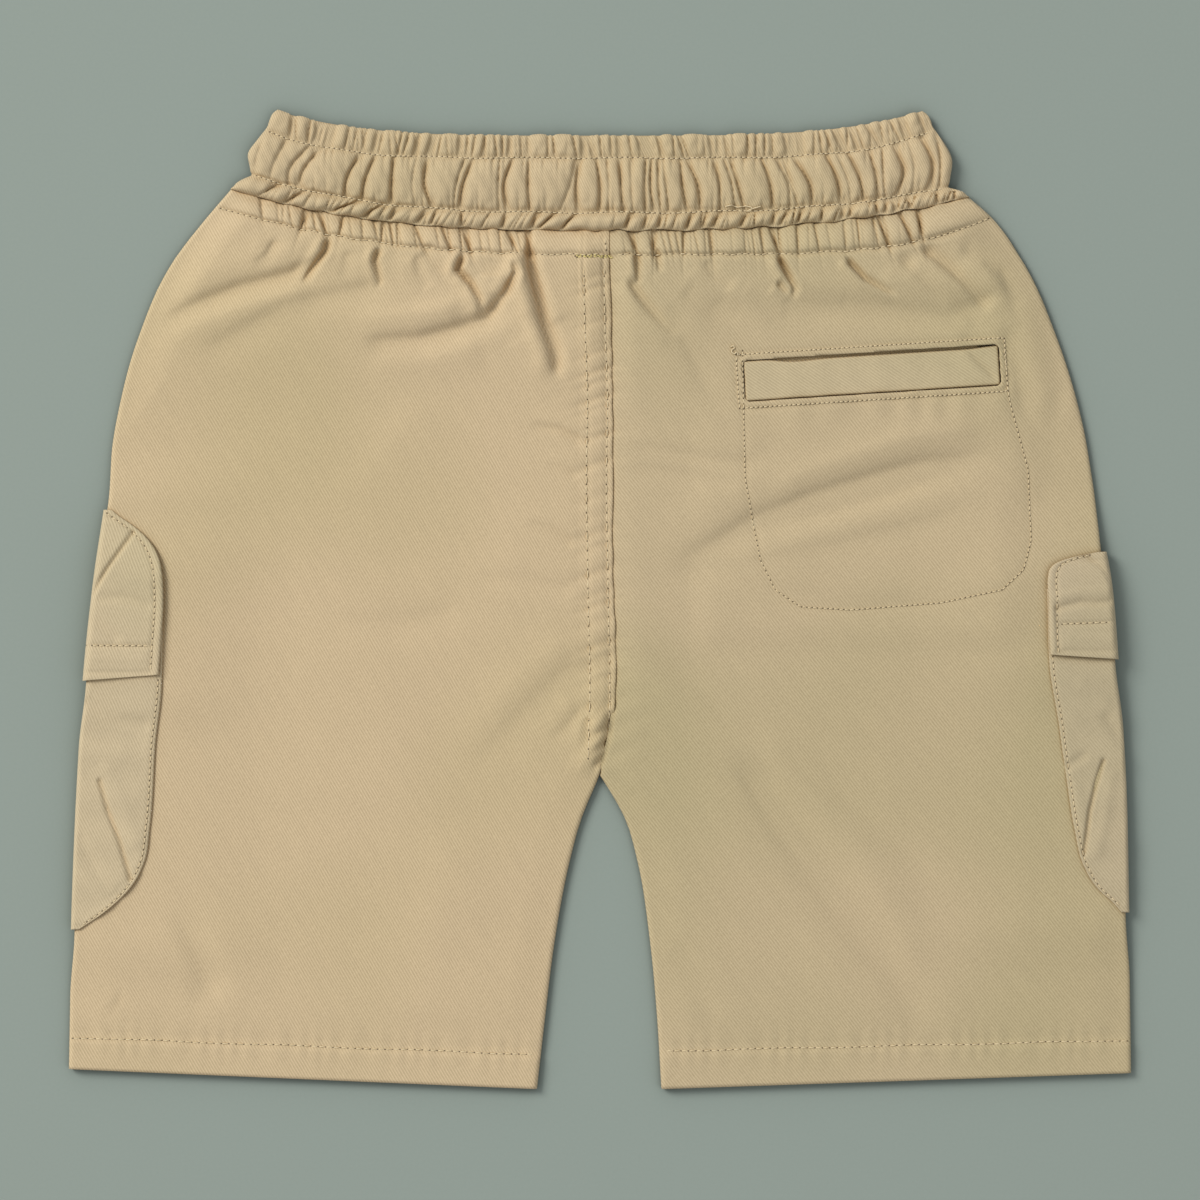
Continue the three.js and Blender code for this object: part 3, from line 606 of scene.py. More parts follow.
PUCKERS = small_tucks(-34, 116, 5.6, 1.7, 1.3, 0, 21)
HEM_RISE = 0.45  # what the turned-up hem adds
LAP_RISE = 0.55  # what the lapped seam adds


def hem_line(leg, d):
    outer, inner = leg.outline[0][1], leg.inseam[0][1]
    share = (outer - d) / (outer - inner)
    return leg.hem_stitch[0] + (leg.hem_stitch[1] - leg.hem_stitch[0]) * share


def sewing_height(leg, d, y):
    """What the hem, the centre seam and the topstitch add to the height."""
    above_hem_stitch = y - hem_line(leg, d)
    pull = 0.16 * np.sin(d * 0.9 + 2 * np.sin(d * 0.19)) * np.exp(-((above_hem_stitch / 5) ** 2))
    height = HEM_RISE * ramp(-above_hem_stitch, -0.6, 1.2) + groove(above_hem_stitch, 0.35, 0.8) + pull
    from_edge = d - inner_edge(leg, y)
    above_crotch = ramp(y, CROTCH_Y - 2, CROTCH_Y + 4)
    if leg is LEFT:
        lap = ramp(from_edge, LAP_WIDTH + 1.2, LAP_WIDTH - 0.4) * above_crotch
        below_strip = ramp(seam_height(leg.topstitch, d) - y, 0, 3)
        pucker = tuck_depth(PUCKERS, y + 0.35 * from_edge, 0) * below_strip
        rows = sum(groove(from_edge - row, 0.4, 0.8) for row in SEAM_ROWS)
        beside = np.exp(-np.clip(from_edge - LAP_WIDTH, 0, None) / 3)
        height = height + lap * (LAP_RISE + rows) * (0.35 + 0.65 * below_strip)
        height = height - 0.6 * pucker * beside * above_crotch
    else:
        beside = np.exp(-np.clip(from_edge, 0, None) / 3.5) * above_crotch
        height = height - beside * 0.4 * tuck_depth(PUCKERS, y, 0)
        beneath = 0.45 - 0.25 * ramp(leg.topstitch.middle - y, 1, -1)
        height = height - beneath * ramp(from_edge, 0.3, -0.8) * ramp(y, CROTCH_Y + 1, CROTCH_Y + 6)
    return height


def crotch_bunching(leg, d, y):
    """The fold and the short slanting ripples where the four panels meet."""
    near = ramp(y, -18, -45) * ramp(y, CROTCH_Y - 22, CROTCH_Y - 4)
    ripple = 0.15 * near * np.sin(y * 0.7 - d * 0.3) * np.exp(-((d - inner_edge(leg, y)) / 10) ** 2)
    if leg is RIGHT:
        return ripple
    return ripple + sum(crease_height(bunch, leg.side * d, y) for bunch in BUNCHES)


def strip_height(leg, d, y):
    """The gathered strip above the topstitch, and the short tucks that run down below it."""
    topstitch, join = seam_height(leg.topstitch, d), seam_height(leg.join, d)
    share = (y - topstitch) / np.maximum(join - topstitch, 4)
    x = leg.side * d
    sides = ramp(np.abs(x), 124, 112)
    smooth = ramp(x, -26, -22) * ramp(x, 10, 6)
    deep = tuck_depth(STRIP_TUCKS, x, share) * (1 - smooth)
    fine = tuck_depth(STRIP_FINE, x, share) * sides * (1 - smooth)
    bulge = np.clip(1 - (2 * share - 1.05) ** 2, 0, 1) ** 0.7
    at_join = (0.3 + 0.25 * np.sin(x * 0.8 + 2 * np.sin(x * 0.17))) * ramp(share, 0.8, 1)
    on_strip = 0.3 + at_join + bulge - (deep + fine) * (0.6 + 0.7 * bulge)
    below = np.exp(-np.clip(topstitch - y, 0, None) / TUCK_REACH)
    under = 0.3 * below - (0.6 * deep + 0.45 * fine) * below
    pressed = groove(y - topstitch, 0.75 * (1 - 0.5 * smooth), 0.9) * ramp(np.abs(x), 136, 120)
    standing = WAIST_PUFF * ramp(join - y, -1, 9)
    return np.maximum(np.where(share > 0, on_strip, under), -0.4 - standing) + pressed


def pocket_height(leg, d, y):
    """Pressed lines of the bag's stitching and round the window."""
    if leg is LEFT:
        return 0
    distance = along_path(BAG_STITCH, d, y)[0]
    outside = outside_window(d, y)
    dents = groove(distance, 0.2, 1.1)
    frame_line = groove(outside - 1.1, -0.35, 0.8) + groove(outside, 0.3, 0.5)
    frame_line += groove(outside - 2.4, 0.3, 0.9)
    ripples = 0.2 * np.sin(d * 0.55 + 1.5 * np.sin(d * 0.11)) * ramp(y, 58, 68) * ramp(d, 60, 80)
    return dents + frame_line + ripples * ramp(y, 76, 70)


def back_height(leg, d, y):
    """Top of a back panel, with its edges not yet rolled."""
    clear, edges, bag = puff(leg, d, y)
    lift = LAYER * wraps(leg, y) * ramp(d, BAG_LINE - 34, SIDE_LINE + 2)
    folds = creases_here(leg, d, y, edges, bag)
    standing = soft_floor(clear + folds, -0.25 + 0.35 * bag)
    sewing = sewing_height(leg, d, y) + crotch_bunching(leg, d, y) + strip_height(leg, d, y)
    return LAYER + lift + standing + CLOTH + sewing + pocket_height(leg, d, y)


# %% Make the back panels
def cut_window(piece):
    """Cuts the pocket's window out of a skin, with planes through its sides and corners."""
    mesh = bmesh.new()
    mesh.from_mesh(piece.data)
    half_width, half_height = WINDOW.width / 2, WINDOW.height / 2
    turn = math.radians(WINDOW.tilt)
    planes = []
    for degrees in range(0, 360, 30):
        angle = math.radians(degrees)
        along = (half_width - WINDOW.corner) * math.copysign(1, math.cos(angle + 0.01))
        across = (half_height - WINDOW.corner) * math.copysign(1, math.sin(angle + 0.01))
        along += WINDOW.corner * math.cos(angle)
        across += WINDOW.corner * math.sin(angle)
        x, y = from_window(along, across)
        normal = Vector((math.cos(angle + turn), math.sin(angle + turn), 0))
        planes.append((Vector((x, y, 0)) * MM, normal))
    for point, normal in planes:
        near = [face for face in mesh.faces if near_window(face, 4)]
        edges = {edge for face in near for edge in face.edges}
        corners = {corner for face in near for corner in face.verts}
        bmesh.ops.bisect_plane(mesh, geom=[*near, *edges, *corners], dist=1e-7,
                               plane_co=point, plane_no=normal)
    inside = [face for face in mesh.faces if near_window(face, -0.02)]
    bmesh.ops.delete(mesh, geom=inside, context="FACES")
    mesh.to_mesh(piece.data)
    mesh.free()


def near_window(face, margin):
    centre = face.calc_center_median() / MM
    return outside_window(centre.x, centre.y) < margin


def back_skin(leg, columns):
    """Points and weave of a back panel's grid, its edges rolled down."""
    d, y, outer, inner = panel_grid(leg, columns, BACK_ROWS)
    z = back_height(leg, d, y)
    at_side = rolled(outer - d, 1) * (z - MIDDLE_HEIGHT - LAYER * wraps(leg, y))
    below_crotch = ramp(y[:, -1:], CROTCH_Y + 3, CROTCH_Y - 3)
    at_inseam = rolled(d - inner, 1) * (z - MIDDLE_HEIGHT) * below_crotch
    in_strip = ramp(y, leg.topstitch.middle - 1, leg.topstitch.middle + 1)
    at_seam = rolled(d - inner, 0.35, 1.2) * (1 - below_crotch) * (1 - 0.7 * in_strip) * (leg is LEFT)
    points = np.stack([leg.side * d, y, z - at_side - at_inseam - at_seam], axis=-1)
    return points, turned(points[:, :, 0], y, leg.twill_angle)


def back_panel(name, leg):
    """A coarse grid up to FINE_ROWS below the waistband, and above it one three times as fine."""
    coarse_columns = panel_columns(BACK_PANEL_COLUMNS)
    coarse, coarse_weave = back_skin(leg, coarse_columns)
    fine, fine_weave = back_skin(leg, finer(coarse_columns))
    coarse, coarse_weave = coarse[:-FINE_ROWS], coarse_weave[:-FINE_ROWS]
    fine, fine_weave = fine[-FINE_ROWS:], fine_weave[-FINE_ROWS:]
    rows, columns = coarse.shape[:2]
    below = (rows - 1) * columns + np.arange(columns - 1)
    above = rows * columns + 3 * np.arange(columns - 1)
    bridge = np.stack([below, below + 1, above + 3, above + 2, above + 1, above], axis=1)
    faces = grid_faces(rows, columns, leg is LEFT).tolist()
    faces += (bridge[:, ::-1] if leg is LEFT else bridge).tolist()
    faces += (grid_faces(*fine.shape[:2], leg is LEFT) + rows * columns).tolist()
    points = np.concatenate([coarse.reshape(-1, 3), fine.reshape(-1, 3)])
    weave = np.concatenate([coarse_weave.reshape(-1, 2), fine_weave.reshape(-1, 2)])
    if not faces_up(points, np.array(faces[:1000])):
        faces = [face[::-1] for face in faces]
    piece = make_mesh(name, points, faces, weave)
    if leg is RIGHT:
        cut_window(piece)
    return thicken(piece)


back_left = back_panel("leg_back_left", LEFT)
back_right = back_panel("leg_back_right", RIGHT)
print("back panels:", triangles(back_left), "and", triangles(back_right), "triangles")

# %% [markdown]
# ## The front panels
#
# They are under the back panels and rest on the table, so they are flat, with shallow creases that
# lift off it under the waist, like those of the back. Their edges roll up to meet the back.

# %% Front panels
def front_panel(name, leg):
    d, y, outer, inner = panel_grid(leg, panel_columns(FRONT_PANEL_COLUMNS), FRONT_ROWS)
    lift = LAYER * wraps(leg, y) * ramp(d, BAG_LINE, SIDE_LINE)
    x = leg.side * d
    waves = 0.35 * ramp(y, 80, 118) * (1 - np.abs(np.sin(x * 0.42 + np.sin(x * 0.13)))) ** 2
    below_crotch = ramp(y[:, -1:], CROTCH_Y + 3, CROTCH_Y - 3)
    up_side = rolled(outer - d, MIDDLE_HEIGHT)
    up_inseam = rolled(d - inner, MIDDLE_HEIGHT) * below_crotch
    up_seam = rolled(d - inner, 0.5, 1.2) * (1 - below_crotch)
    z = lift + waves + up_side + up_inseam + up_seam
    piece = sheet_from_grid(name, x, y, z, turned(x, y, -leg.twill_angle), facing="down")
    return thicken(piece)


front_left = front_panel("leg_front_left", LEFT)
front_right = front_panel("leg_front_right", RIGHT)
print("front panels:", triangles(front_left), "and", triangles(front_right), "triangles")

# %% [markdown]
# ## The waistband
#
# One casing of twill is stitched in two rows over a 20 mm elastic. It stands up as a header above
# the upper row, puffs over the elastic between the rows, and ends in a small ruffle at its seam.
# The strong creases over the elastic were read from the waist one by one.

# %% Lines across the waistband
# A line across the band: its height in the middle, how far it rises at the left and right ends and
# how late, half its length, and how high the crests of the cloth stand on it.
BandRow = namedtuple("BandRow", "middle left right power half crest")

BAND = [
    BandRow(129.0, 14.5, 11.7, 2.8, 129, 0.5),
    BandRow(130.2, 14.2, 11.2, 2.85, 128, 2.6),
    BandRow(131.6, 14, 10.8, 2.9, 127, 3.3),
    BandRow(133.6, 13.6, 9.8, 3, 124.3, 2.6),
    BandRow(135.2, 13.2, 9, 3, 121.6, 1.2),
    BandRow(136.6, 12.9, 9, 3.2, 122, 2.3),
    BandRow(139, 12.6, 9, 3.4, 122.4, 3),
    BandRow(144.6, 11.4, 9.4, 4, 122.9, 3.3),
    BandRow(150.4, 10.2, 9.8, 4.6, 119.8, 3),
    BandRow(152.9, 10, 9.8, 4.8, 118, 2.3),
    BandRow(154.3, 9.8, 9.8, 5, 117, 1.2),
    BandRow(155.8, 9.5, 9.5, 4.8, 116.2, 1.9),
    BandRow(158.4, 9.2, 9.2, 4.6, 115.4, 2.2),
    BandRow(161.2, 8.7, 8.7, 4.2, 113.9, 1.8),
    BandRow(162.2, 8.6, 8.6, 4, 112.6, 0.9),
]
LOWER_STITCH = 135.2
UPPER_STITCH = 154.3
BAND_UNDERSIDE = 2.5
BAND_HALF = 124  # about half the width of the band, for spacing its columns
END_REACH = 122  # and for rounding its ends
CREASE_DEPTH, CREASE_WIDTH = 1.55, 0.8  # what the depths and widths of BAND_CREASES are scaled by
BAND_FULLNESS = 1.25  # how much longer the cloth is than the band that it is gathered to
BAND_TWILL_ANGLE = 58
BACK_BAND_GRID, FRONT_BAND_GRID = (74, 575), (34, 250)  # rows and columns

# A crease's places at the lower stitches, half way up and at the upper stitches.
BandCrease = namedtuple("BandCrease", "foot middle head depth width")

BAND_CREASES = [BandCrease(*row) for row in [
    (-121, -119.6, -117, 1.2, 1.6), (-115.4, -113.4, -109.4, 1, 1.8), (-109.2, -107.8, -101.2, 1, 1.7),
    (-105.5, -103.3, -97.4, 1.1, 1.5), (-89.4, -88.2, -83.7, 1.3, 1), (-83.4, -81.9, -78.4, 1.3, 1),
    (-73.3, -72.8, -72.1, 1.3, 1), (-58.6, -61.4, -60.3, 1.4, 1.2), (-64.5, -65.5, -64, 0.5, 0.9),
    (-49.4, -47.8, -44.2, 1.4, 1.3), (-51.2, -50.2, -47.2, 0.7, 0.7), (-32.4, -33.6, -30.5, 1.4, 1.1),
    (-35.4, -35.6, -35, 0.7, 0.6), (-24.6, -25.2, -25, 1.2, 0.9), (-7.9, -8.4, -7.2, 1.3, 1),
    (-14.3, -10.5, -8.4, 0.7, 1.7), (-0.5, -0.2, -1.5, 1.3, 0.9), (2.8, 3.1, 2.2, 0.5, 0.7),
    (7.8, 7.2, 6.5, 1.2, 0.9), (11.4, 10.8, 10.4, 0.5, 0.8), (15.5, 15.4, 15.9, 0.9, 0.8),
    (18.6, 17.5, 17.9, 1.2, 0.8), (21.2, 20.3, 20, 0.9, 0.6), (23.9, 22.9, 21.9, 0.8, 0.7),
    (30.3, 28.6, 27.8, 1.2, 0.9), (35, 34, 30.1, 1.3, 1.2), (41.7, 41.5, 39.6, 1.2, 0.9),
    (47, 45.9, 43, 0.8, 0.8), (50.4, 48, 45.4, 1.2, 1), (60.1, 59.2, 56, 1.3, 1),
    (66, 65.5, 60.9, 0.9, 1.3), (69.3, 66.5, 63.6, 0.6, 0.9), (74, 72.8, 67, 1.4, 1.3),
    (83.9, 82.6, 78.6, 1.4, 1.1), (87.6, 86.2, 82.4, 0.5, 0.9), (92, 90.3, 86.1, 1.3, 0.9),
    (96.6, 96, 93.7, 1.1, 0.9), (99.4, 98.7, 98.4, 0.8, 0.7), (103, 105.7, 102.4, 1.5, 1.4),
    (114.1, 115.9, 111.7, 1.4, 1.3), (108.6, 109.6, 107.4, 0.5, 1.3), (118.3, 118.7, 116.9, 1, 1),
]]


def band_value(column, height):
    return read([(row.middle, getattr(row, column)) for row in BAND], height)


def band_place(height, s):
    """A place on the band: height is where its line crosses the middle, s runs from -1 to 1."""
    rise = np.where(s < 0, band_value("left", height), band_value("right", height))
    half, power = band_value("half", height), band_value("power", height)
    return s * half, height + rise * np.abs(s) ** power


# Tucks of the header, as their places at the stitches and at the top edge.
HEADER_FAINT = [
    (-102.4, -101.1), (-98.4, -96.4), (-89.4, -87.7), (-86.4, -85), (-83.4, -81.4), (-77.4, -75.7),
    (-71, -69), (-69, -66.6), (-58.9, -56.9), (-56.9, -55.3), (-46.9, -46.2), (-44.9, -43.5),
    (-41.5, -40.2), (-36.2, -36.8), (-34.2, -34.2), (-27.5, -27.8), (-18.3, -18.3), (-15.6, -16.6),
    (-8.2, -9.6), (0.5, -0.2), (3.9, 3.5), (11.2, 9.9), (15.5, 12.5), (29.3, 27), (31, 28.3),
    (44.3, 43.3), (51.2, 51.4), (54.2, 54.4), (57.4, 57.4), (60.3, 60), (68, 66.8), (70, 68.5),
    (77.5, 76.3), (81, 78.3), (85.6, 83.3), (92, 89.4), (98.9, 97.8), (104.8, 101), (108.2, 106),
    (115.2, 113.2),
]
HEADER_STRONG = [
    (-108.5, -107.5), (-100.5, -97.8), (-96.4, -94.4), (-94.7, -92.4), (-79.4, -77.7), (-65.3, -63),
    (-60.9, -58.3), (-49.6, -49), (-32.2, -31.5), (-25, -25.4), (-5.5, -6.2), (-2.2, -4.5), (7.2, 6.5),
    (16.6, 14.6), (18.2, 16.3), (21.6, 19.9), (39.3, 38), (41.3, 41), (65.4, 64.1), (70.5, 70.2),
    (85, 81), (89.7, 87), (97.8, 92.6), (107, 104.2), (113.5, 111), (117, 114.6),
]
HEADER_TUCKS = [
    *(Tuck(foot, top, 1.3, 0.5) for foot, top in HEADER_FAINT),
    *(Tuck(foot, top, 2.3, 0.65) for foot, top in HEADER_STRONG),
    *small_tucks(-106, 115, 3.4, 1.2, 0.4, -0.6, 11),
]
HEAD_TUCKS = small_tucks(-100, 115, 3.1, 1.5, 0.6, 0, 13)
FOOT_TUCKS = small_tucks(-106, 117, 2.9, 1.5, 0.6, 0, 14)
# Strong pleats of the ruffle, as their places at the seam and at the stitches.
RUFFLE_STRONG = [
    (-120, -112), (-111, -103), (-96, -84), (-84, -76), (-74.3, -71), (-65, -60.3), (-59.6, -56.9),
    (-48.9, -48.2), (-34.8, -32.8), (-24.8, -21.6), (-22.3, -15.6), (-14.3, -8.2), (7.8, 11.2),
    (14.6, 16.6), (19.6, 21.6), (29.3, 32.6), (35.3, 37.3), (38.5, 42), (48, 52), (59.3, 61.4),
    (62, 66), (68.5, 70.5), (76.6, 78), (83.9, 85), (86.8, 87.9), (96.6, 96), (99.2, 100), (103, 101.9),
    (108, 107.4), (117.2, 117.5), (123.6, 123.4),
]
RUFFLE_TUCKS = [
    *(Tuck(foot, top, 2.5, 0.7) for foot, top in RUFFLE_STRONG),
    *small_tucks(-118, -22, 2.6, 1.5, 0.45, 3.4, 15),
    *small_tucks(4, 122, 2.4, 1.5, 0.45, 1.8, 16),
]
SMOOTH_LEFT = (-118, -108)  # the casing puffs up here with hardly a gather


def band_tucks(x, height):
    """How deep the gathers cut into the band."""
    channel = np.clip((height - LOWER_STITCH) / (UPPER_STITCH - LOWER_STITCH), 0, 1)
    in_channel = ramp(height, LOWER_STITCH - 0.4, LOWER_STITCH + 1)
    in_channel = in_channel * ramp(height, UPPER_STITCH + 0.4, UPPER_STITCH - 1)
    total = np.zeros(np.shape(x))
    for crease in BAND_CREASES:
        place = read([(0, crease.foot), (0.5, crease.middle), (1, crease.head)], channel)
        total += CREASE_DEPTH * crease.depth * cut(x - place, CREASE_WIDTH * crease.width) * in_channel
    from_head = np.exp(-np.clip(UPPER_STITCH - height, 0, None) / TUCK_REACH)
    from_foot = np.exp(-np.clip(height - LOWER_STITCH, 0, None) / TUCK_REACH)
    total += tuck_depth(HEAD_TUCKS, x, 0) * from_head * in_channel
    total += tuck_depth(FOOT_TUCKS, x, 0) * from_foot * in_channel
    header = np.clip((height - UPPER_STITCH) / (BAND[-1].middle - UPPER_STITCH), 0, 1)
    total += tuck_depth(HEADER_TUCKS, x, header) * ramp(height, UPPER_STITCH - 0.8, UPPER_STITCH + 0.8)
    ruffle = np.clip((height - BAND[0].middle) / (LOWER_STITCH - BAND[0].middle), 0, 1)
    total += tuck_depth(RUFFLE_TUCKS, x, ruffle) * ramp(height, LOWER_STITCH + 0.6, LOWER_STITCH - 0.6)
    return total * (0.45 + 0.55 * ramp(x, *SMOOTH_LEFT))


# %% [markdown]
# The back half of the band is a fine grid, because its creases are only about a millimetre wide. It
# gets its underside by code: an even skin close below, since the folded cloth fills each crease.

# %% Back half of the waistband
def band_grid(rows, columns):
    """Places over the band, the heights they have at its middle, and their shares of its half."""
    heights = np.linspace(BAND[0].middle, BAND[-1].middle, rows)
    edge, inside = np.array([0, 0.1, 0.35, 0.8, 1.4]) / BAND_HALF, 1 - 2.2 / BAND_HALF
    s = np.concatenate([-1 + edge, np.linspace(-inside, inside, columns), 1 - edge[::-1]])
    height = heights[:, None] + np.zeros(s.shape)
    x, y = band_place(height, s[None, :] + np.zeros(height.shape))
    return x, y, height, s[None, :]


def round_end(s, width):
    """Share of the band's thickness, which falls to nothing over a width at its two ends."""
    from_end = (1 - np.abs(s)) * END_REACH
    return np.sqrt(1 - np.clip(1 - from_end / width, 0, 1) ** 2)


def close_grid(name, x, y, top, bottom, weave):
    """A closed sheet between two skins over the same grid."""
    rows, columns = x.shape
    count = rows * columns
    points = np.concatenate([np.stack([x, y, skin], axis=-1).reshape(-1, 3) for skin in (top, bottom)])
    quads = grid_faces(rows, columns, False)
    flipped = not faces_up(points, quads)
    upper = quads[:, ::-1] if flipped else quads
    lower = (quads if flipped else quads[:, ::-1]) + count
    border = np.concatenate([
        np.arange(columns), np.arange(1, rows) * columns + columns - 1,
        (rows - 1) * columns + np.arange(columns - 2, -1, -1), np.arange(rows - 2, 0, -1) * columns,
    ])
    following = np.roll(border, -1)
    rim = np.stack([following, border, border + count, following + count], axis=1)
    if flipped:
        rim = rim[:, ::-1]
    places = weave.reshape(-1, 2)
    faces = np.concatenate([upper, lower, rim])
    return smooth(make_mesh(name, points, faces, np.concatenate([places, places])))


def band_back(name):
    x, y, height, s = band_grid(*BACK_BAND_GRID)
    tucks = band_tucks(x, height)
    crest = band_value("crest", height) + 0.3 * np.sin(x * 0.21) * np.sin(height * 0.15)
    crest += 0.12 * np.sin(x * 1.3 + 3 * np.sin(height * 0.3))
    thick = np.maximum(crest - tucks * np.clip(crest / 2.2, 0.35, 1.1), 0.35)
    thick = thick * round_end(s, 4.5)
    scallop = ramp(height, 158, 162.2) * (0.5 - 0.45 * np.clip(tucks, 0, 2))
    over_seam = ramp(height, 132, BAND[0].middle)
    sway = over_seam * (seam_wave(LEFT.join, np.abs(x)) + 0.12 * np.sin(x * 0.37))
    underside = BAND_UNDERSIDE + 0.5 * ramp(height, 131, BAND[0].middle)
    top = underside + thick
    weave = turned(x * BAND_FULLNESS, y, -BAND_TWILL_ANGLE)
    return close_grid(name, x, y + scallop + sway, top, np.minimum(top - 0.05, underside), weave)


waist_back = band_back("waistband_back_half")
print("back half of the waistband:", triangles(waist_back), "triangles")

# %% [markdown]
# The front half is the same casing seen from below. It rests on the table on the crests of its
# gathers, so its creases run up into it.

# %% Front half of the waistband
def band_front(name):
    x, y, height, s = band_grid(*FRONT_BAND_GRID)
    crest = band_value("crest", height)
    tucks = band_tucks(-x, height)
    hollow = np.clip(0.9 * (1 - crest / 3.3) + 0.6 * tucks, 0, 1.3)
    top = 2.2 + 0 * x
    bottom = np.minimum(top - (top - hollow) * round_end(s, 3.2), top - 0.1)
    return close_grid(name, x, y, top, bottom, turned(x * BAND_FULLNESS, y, BAND_TWILL_ANGLE))


waist_front = band_front("waistband_front_half")
print("front half of the waistband:", triangles(waist_front), "triangles")

# %% [markdown]
# ## The back pocket
#
# The welt is a folded strip that lies in the window, its long edges turned in. The bag is sewn
# through to the panel and only shows as its line of stitching, and at the slot above the welt.

# %% Welt and bag
WELT_GRID = (170, 30)  # columns along it and rows across
WELT_TOP = 3.35


def pocket_welt(name):
    u, v = np.meshgrid(*(np.linspace(-1, 1, count) for count in WELT_GRID))
    half_width, half_height = WINDOW.width / 2 - 0.15, WINDOW.height / 2 - 0.2
    a = u * half_width
    slack = 0.45 * np.exp(-(((a + 25) / 7) ** 2)) + 0.75 * ramp(a, -38, -28) * ramp(a, 44, 34)
    slack *= ramp(v, 0.4, 1)
    b = v * half_height - slack
    edge_distance = np.minimum((1 - np.abs(u)) * half_width, (1 - np.abs(v)) * half_height)
    waves = 0.1 * np.sin(a * 0.23 + 0.6) + 0.06 * np.sin(a * 0.6 + v)
    fold = -groove(a - 39 + 0.9 * b, 0.45, 1.2) + groove(a - 36 + 0.7 * b, 0.3, 2.5)
    z = WELT_TOP + (waves - fold) * ramp(edge_distance, 0, 3) - rolled(edge_distance, 0.45, 1)
    x, y = from_window(a, b)
    piece = sheet_from_grid(name, x, y, z, turned(x, y, -34))
    return thicken(piece)


def pocket_bag(name):
    """A flat plate with round corners, shaped from a plane."""
    centre = ((BAG.left + BAG.right) / 2 * MM, (BAG.bottom + BAG.top) / 2 * MM, (LAYER + 0.8) * MM)
    bpy.ops.object.select_all(action="DESELECT")
    bpy.ops.mesh.primitive_plane_add(size=1, location=centre)
    piece = bpy.context.object
    piece.name = name
    piece.data.name = name
    piece.scale = ((BAG.right - BAG.left) * MM, (BAG.top - BAG.bottom) * MM, 1)
    bpy.ops.object.transform_apply(location=True, rotation=True, scale=True)
    bpy.ops.object.mode_set(mode="EDIT")
    bpy.ops.mesh.select_all(action="SELECT")
    bpy.ops.mesh.bevel(offset=BAG.corner * MM, segments=8, affect="VERTICES")
    bpy.ops.mesh.inset(thickness=1.2 * MM)
    bpy.ops.transform.translate(value=(0, 0, 0.2 * MM))
    bpy.ops.object.mode_set(mode="OBJECT")
    lay_weave(piece, -33)
    return thicken(piece)


def lay_weave(piece, angle):
    """Lays the weave map on a shaped piece, by each corner's place."""
    mesh = piece.data
    while mesh.uv_layers:
        mesh.uv_layers.remove(mesh.uv_layers[0])
    layer = mesh.uv_layers.new(name="weave")
    places = np.array([mesh.vertices[loop.vertex_index].co for loop in mesh.loops]) / MM
    layer.data.foreach_set("uv", turned(places[:, 0], places[:, 1], angle).astype(np.float32).ravel())


welt = pocket_welt("back_pocket_welt_strip")
bag = pocket_bag("back_pocket_lining_bag")
print("welt:", triangles(welt), "triangles, bag:", triangles(bag))

# %% [markdown]
# ## Cargo pockets and flaps
#
# Each wraps round a side fold, half on the back and half on the front. A row of the sheet runs from
# the free edge in front, under the leg, round the fold, and over the back to the other free edge.

# %% Wrapped pieces
# A row: its height on the shorts at the fold and at the free edge, how wide it is on the back, where
# its fold is, and how high above the table its front half and its back half lie.
Wrap = namedtuple("Wrap", "y free_y width fold front back")
FRONT_COLUMNS, FOLD_COLUMNS, BACK_COLUMNS = 12, 12, 42
ROW_SPACING = 0.7
PRESSED = 0.32  # how much flatter than loose layers the pockets and flaps lie


def wrap_grid(leg, rows):
    """Grid of a wrapped piece, with each column's distance from the back free edge."""
    widest = max(width for _, width in leg.flap_shape)
    grid, reach = [], []
    for row in rows:
        top = row.back + CLOTH
        middle, half = (row.front + top) / 2, (top - row.front) / 2
        depth = min(0.75 * half, row.width * 0.4)
        front_width = FRONT_HALF * row.width / widest
        across, heights = [], []
        for i in range(FRONT_COLUMNS):
            across.append(front_width - (front_width - depth) * i / FRONT_COLUMNS)
            heights.append(row.front)
        for i in range(FOLD_COLUMNS + 1):
            angle = -math.pi / 2 + math.pi * i / FOLD_COLUMNS
            across.append(depth - depth * math.cos(angle))
            heights.append(middle + half * math.sin(angle))
        for i in range(1, BACK_COLUMNS + 1):
            across.append(depth + (row.width - depth) * i / BACK_COLUMNS)
            heights.append(top)
        across = np.array(across)
        y = row.y + (row.free_y - row.y) * np.clip(across / row.width, 0, 1)
        grid.append(np.stack([leg.side * (row.fold - across), y, heights], axis=-1))
        reach.append(row.width - across)
    return np.array(grid), np.array(reach)


def from_fold(grid):
    """How far each point is from the side fold, over the cloth, positive on the back."""
    steps = np.hypot(np.diff(grid[:, :, 0], axis=1), np.diff(grid[:, :, 2], axis=1))
    along = np.concatenate([np.zeros((len(grid), 1)), np.cumsum(steps, axis=1)], axis=1)
    middle = FRONT_COLUMNS + FOLD_COLUMNS // 2
    return along - along[:, middle:middle + 1]


def heights_of(shape):
    """Evenly spaced heights over a shape, closer together at its two ends."""
    top, bottom = shape[0][0], shape[-1][0]
    count = int((top - bottom) / ROW_SPACING)
    near = np.array([0, 0.25, 0.7, 1.3])
    return np.concatenate([bottom + near, np.linspace(bottom + 2, top - 2, count), top - near[::-1]])


def on_back(grid):
    """1 on the back of a wrapped piece, 0 on its front."""
    highest = grid[:, :, 2].max(axis=1, keepdims=True)
    return ramp(grid[:, :, 2], highest - 0.9, highest - 0.2)


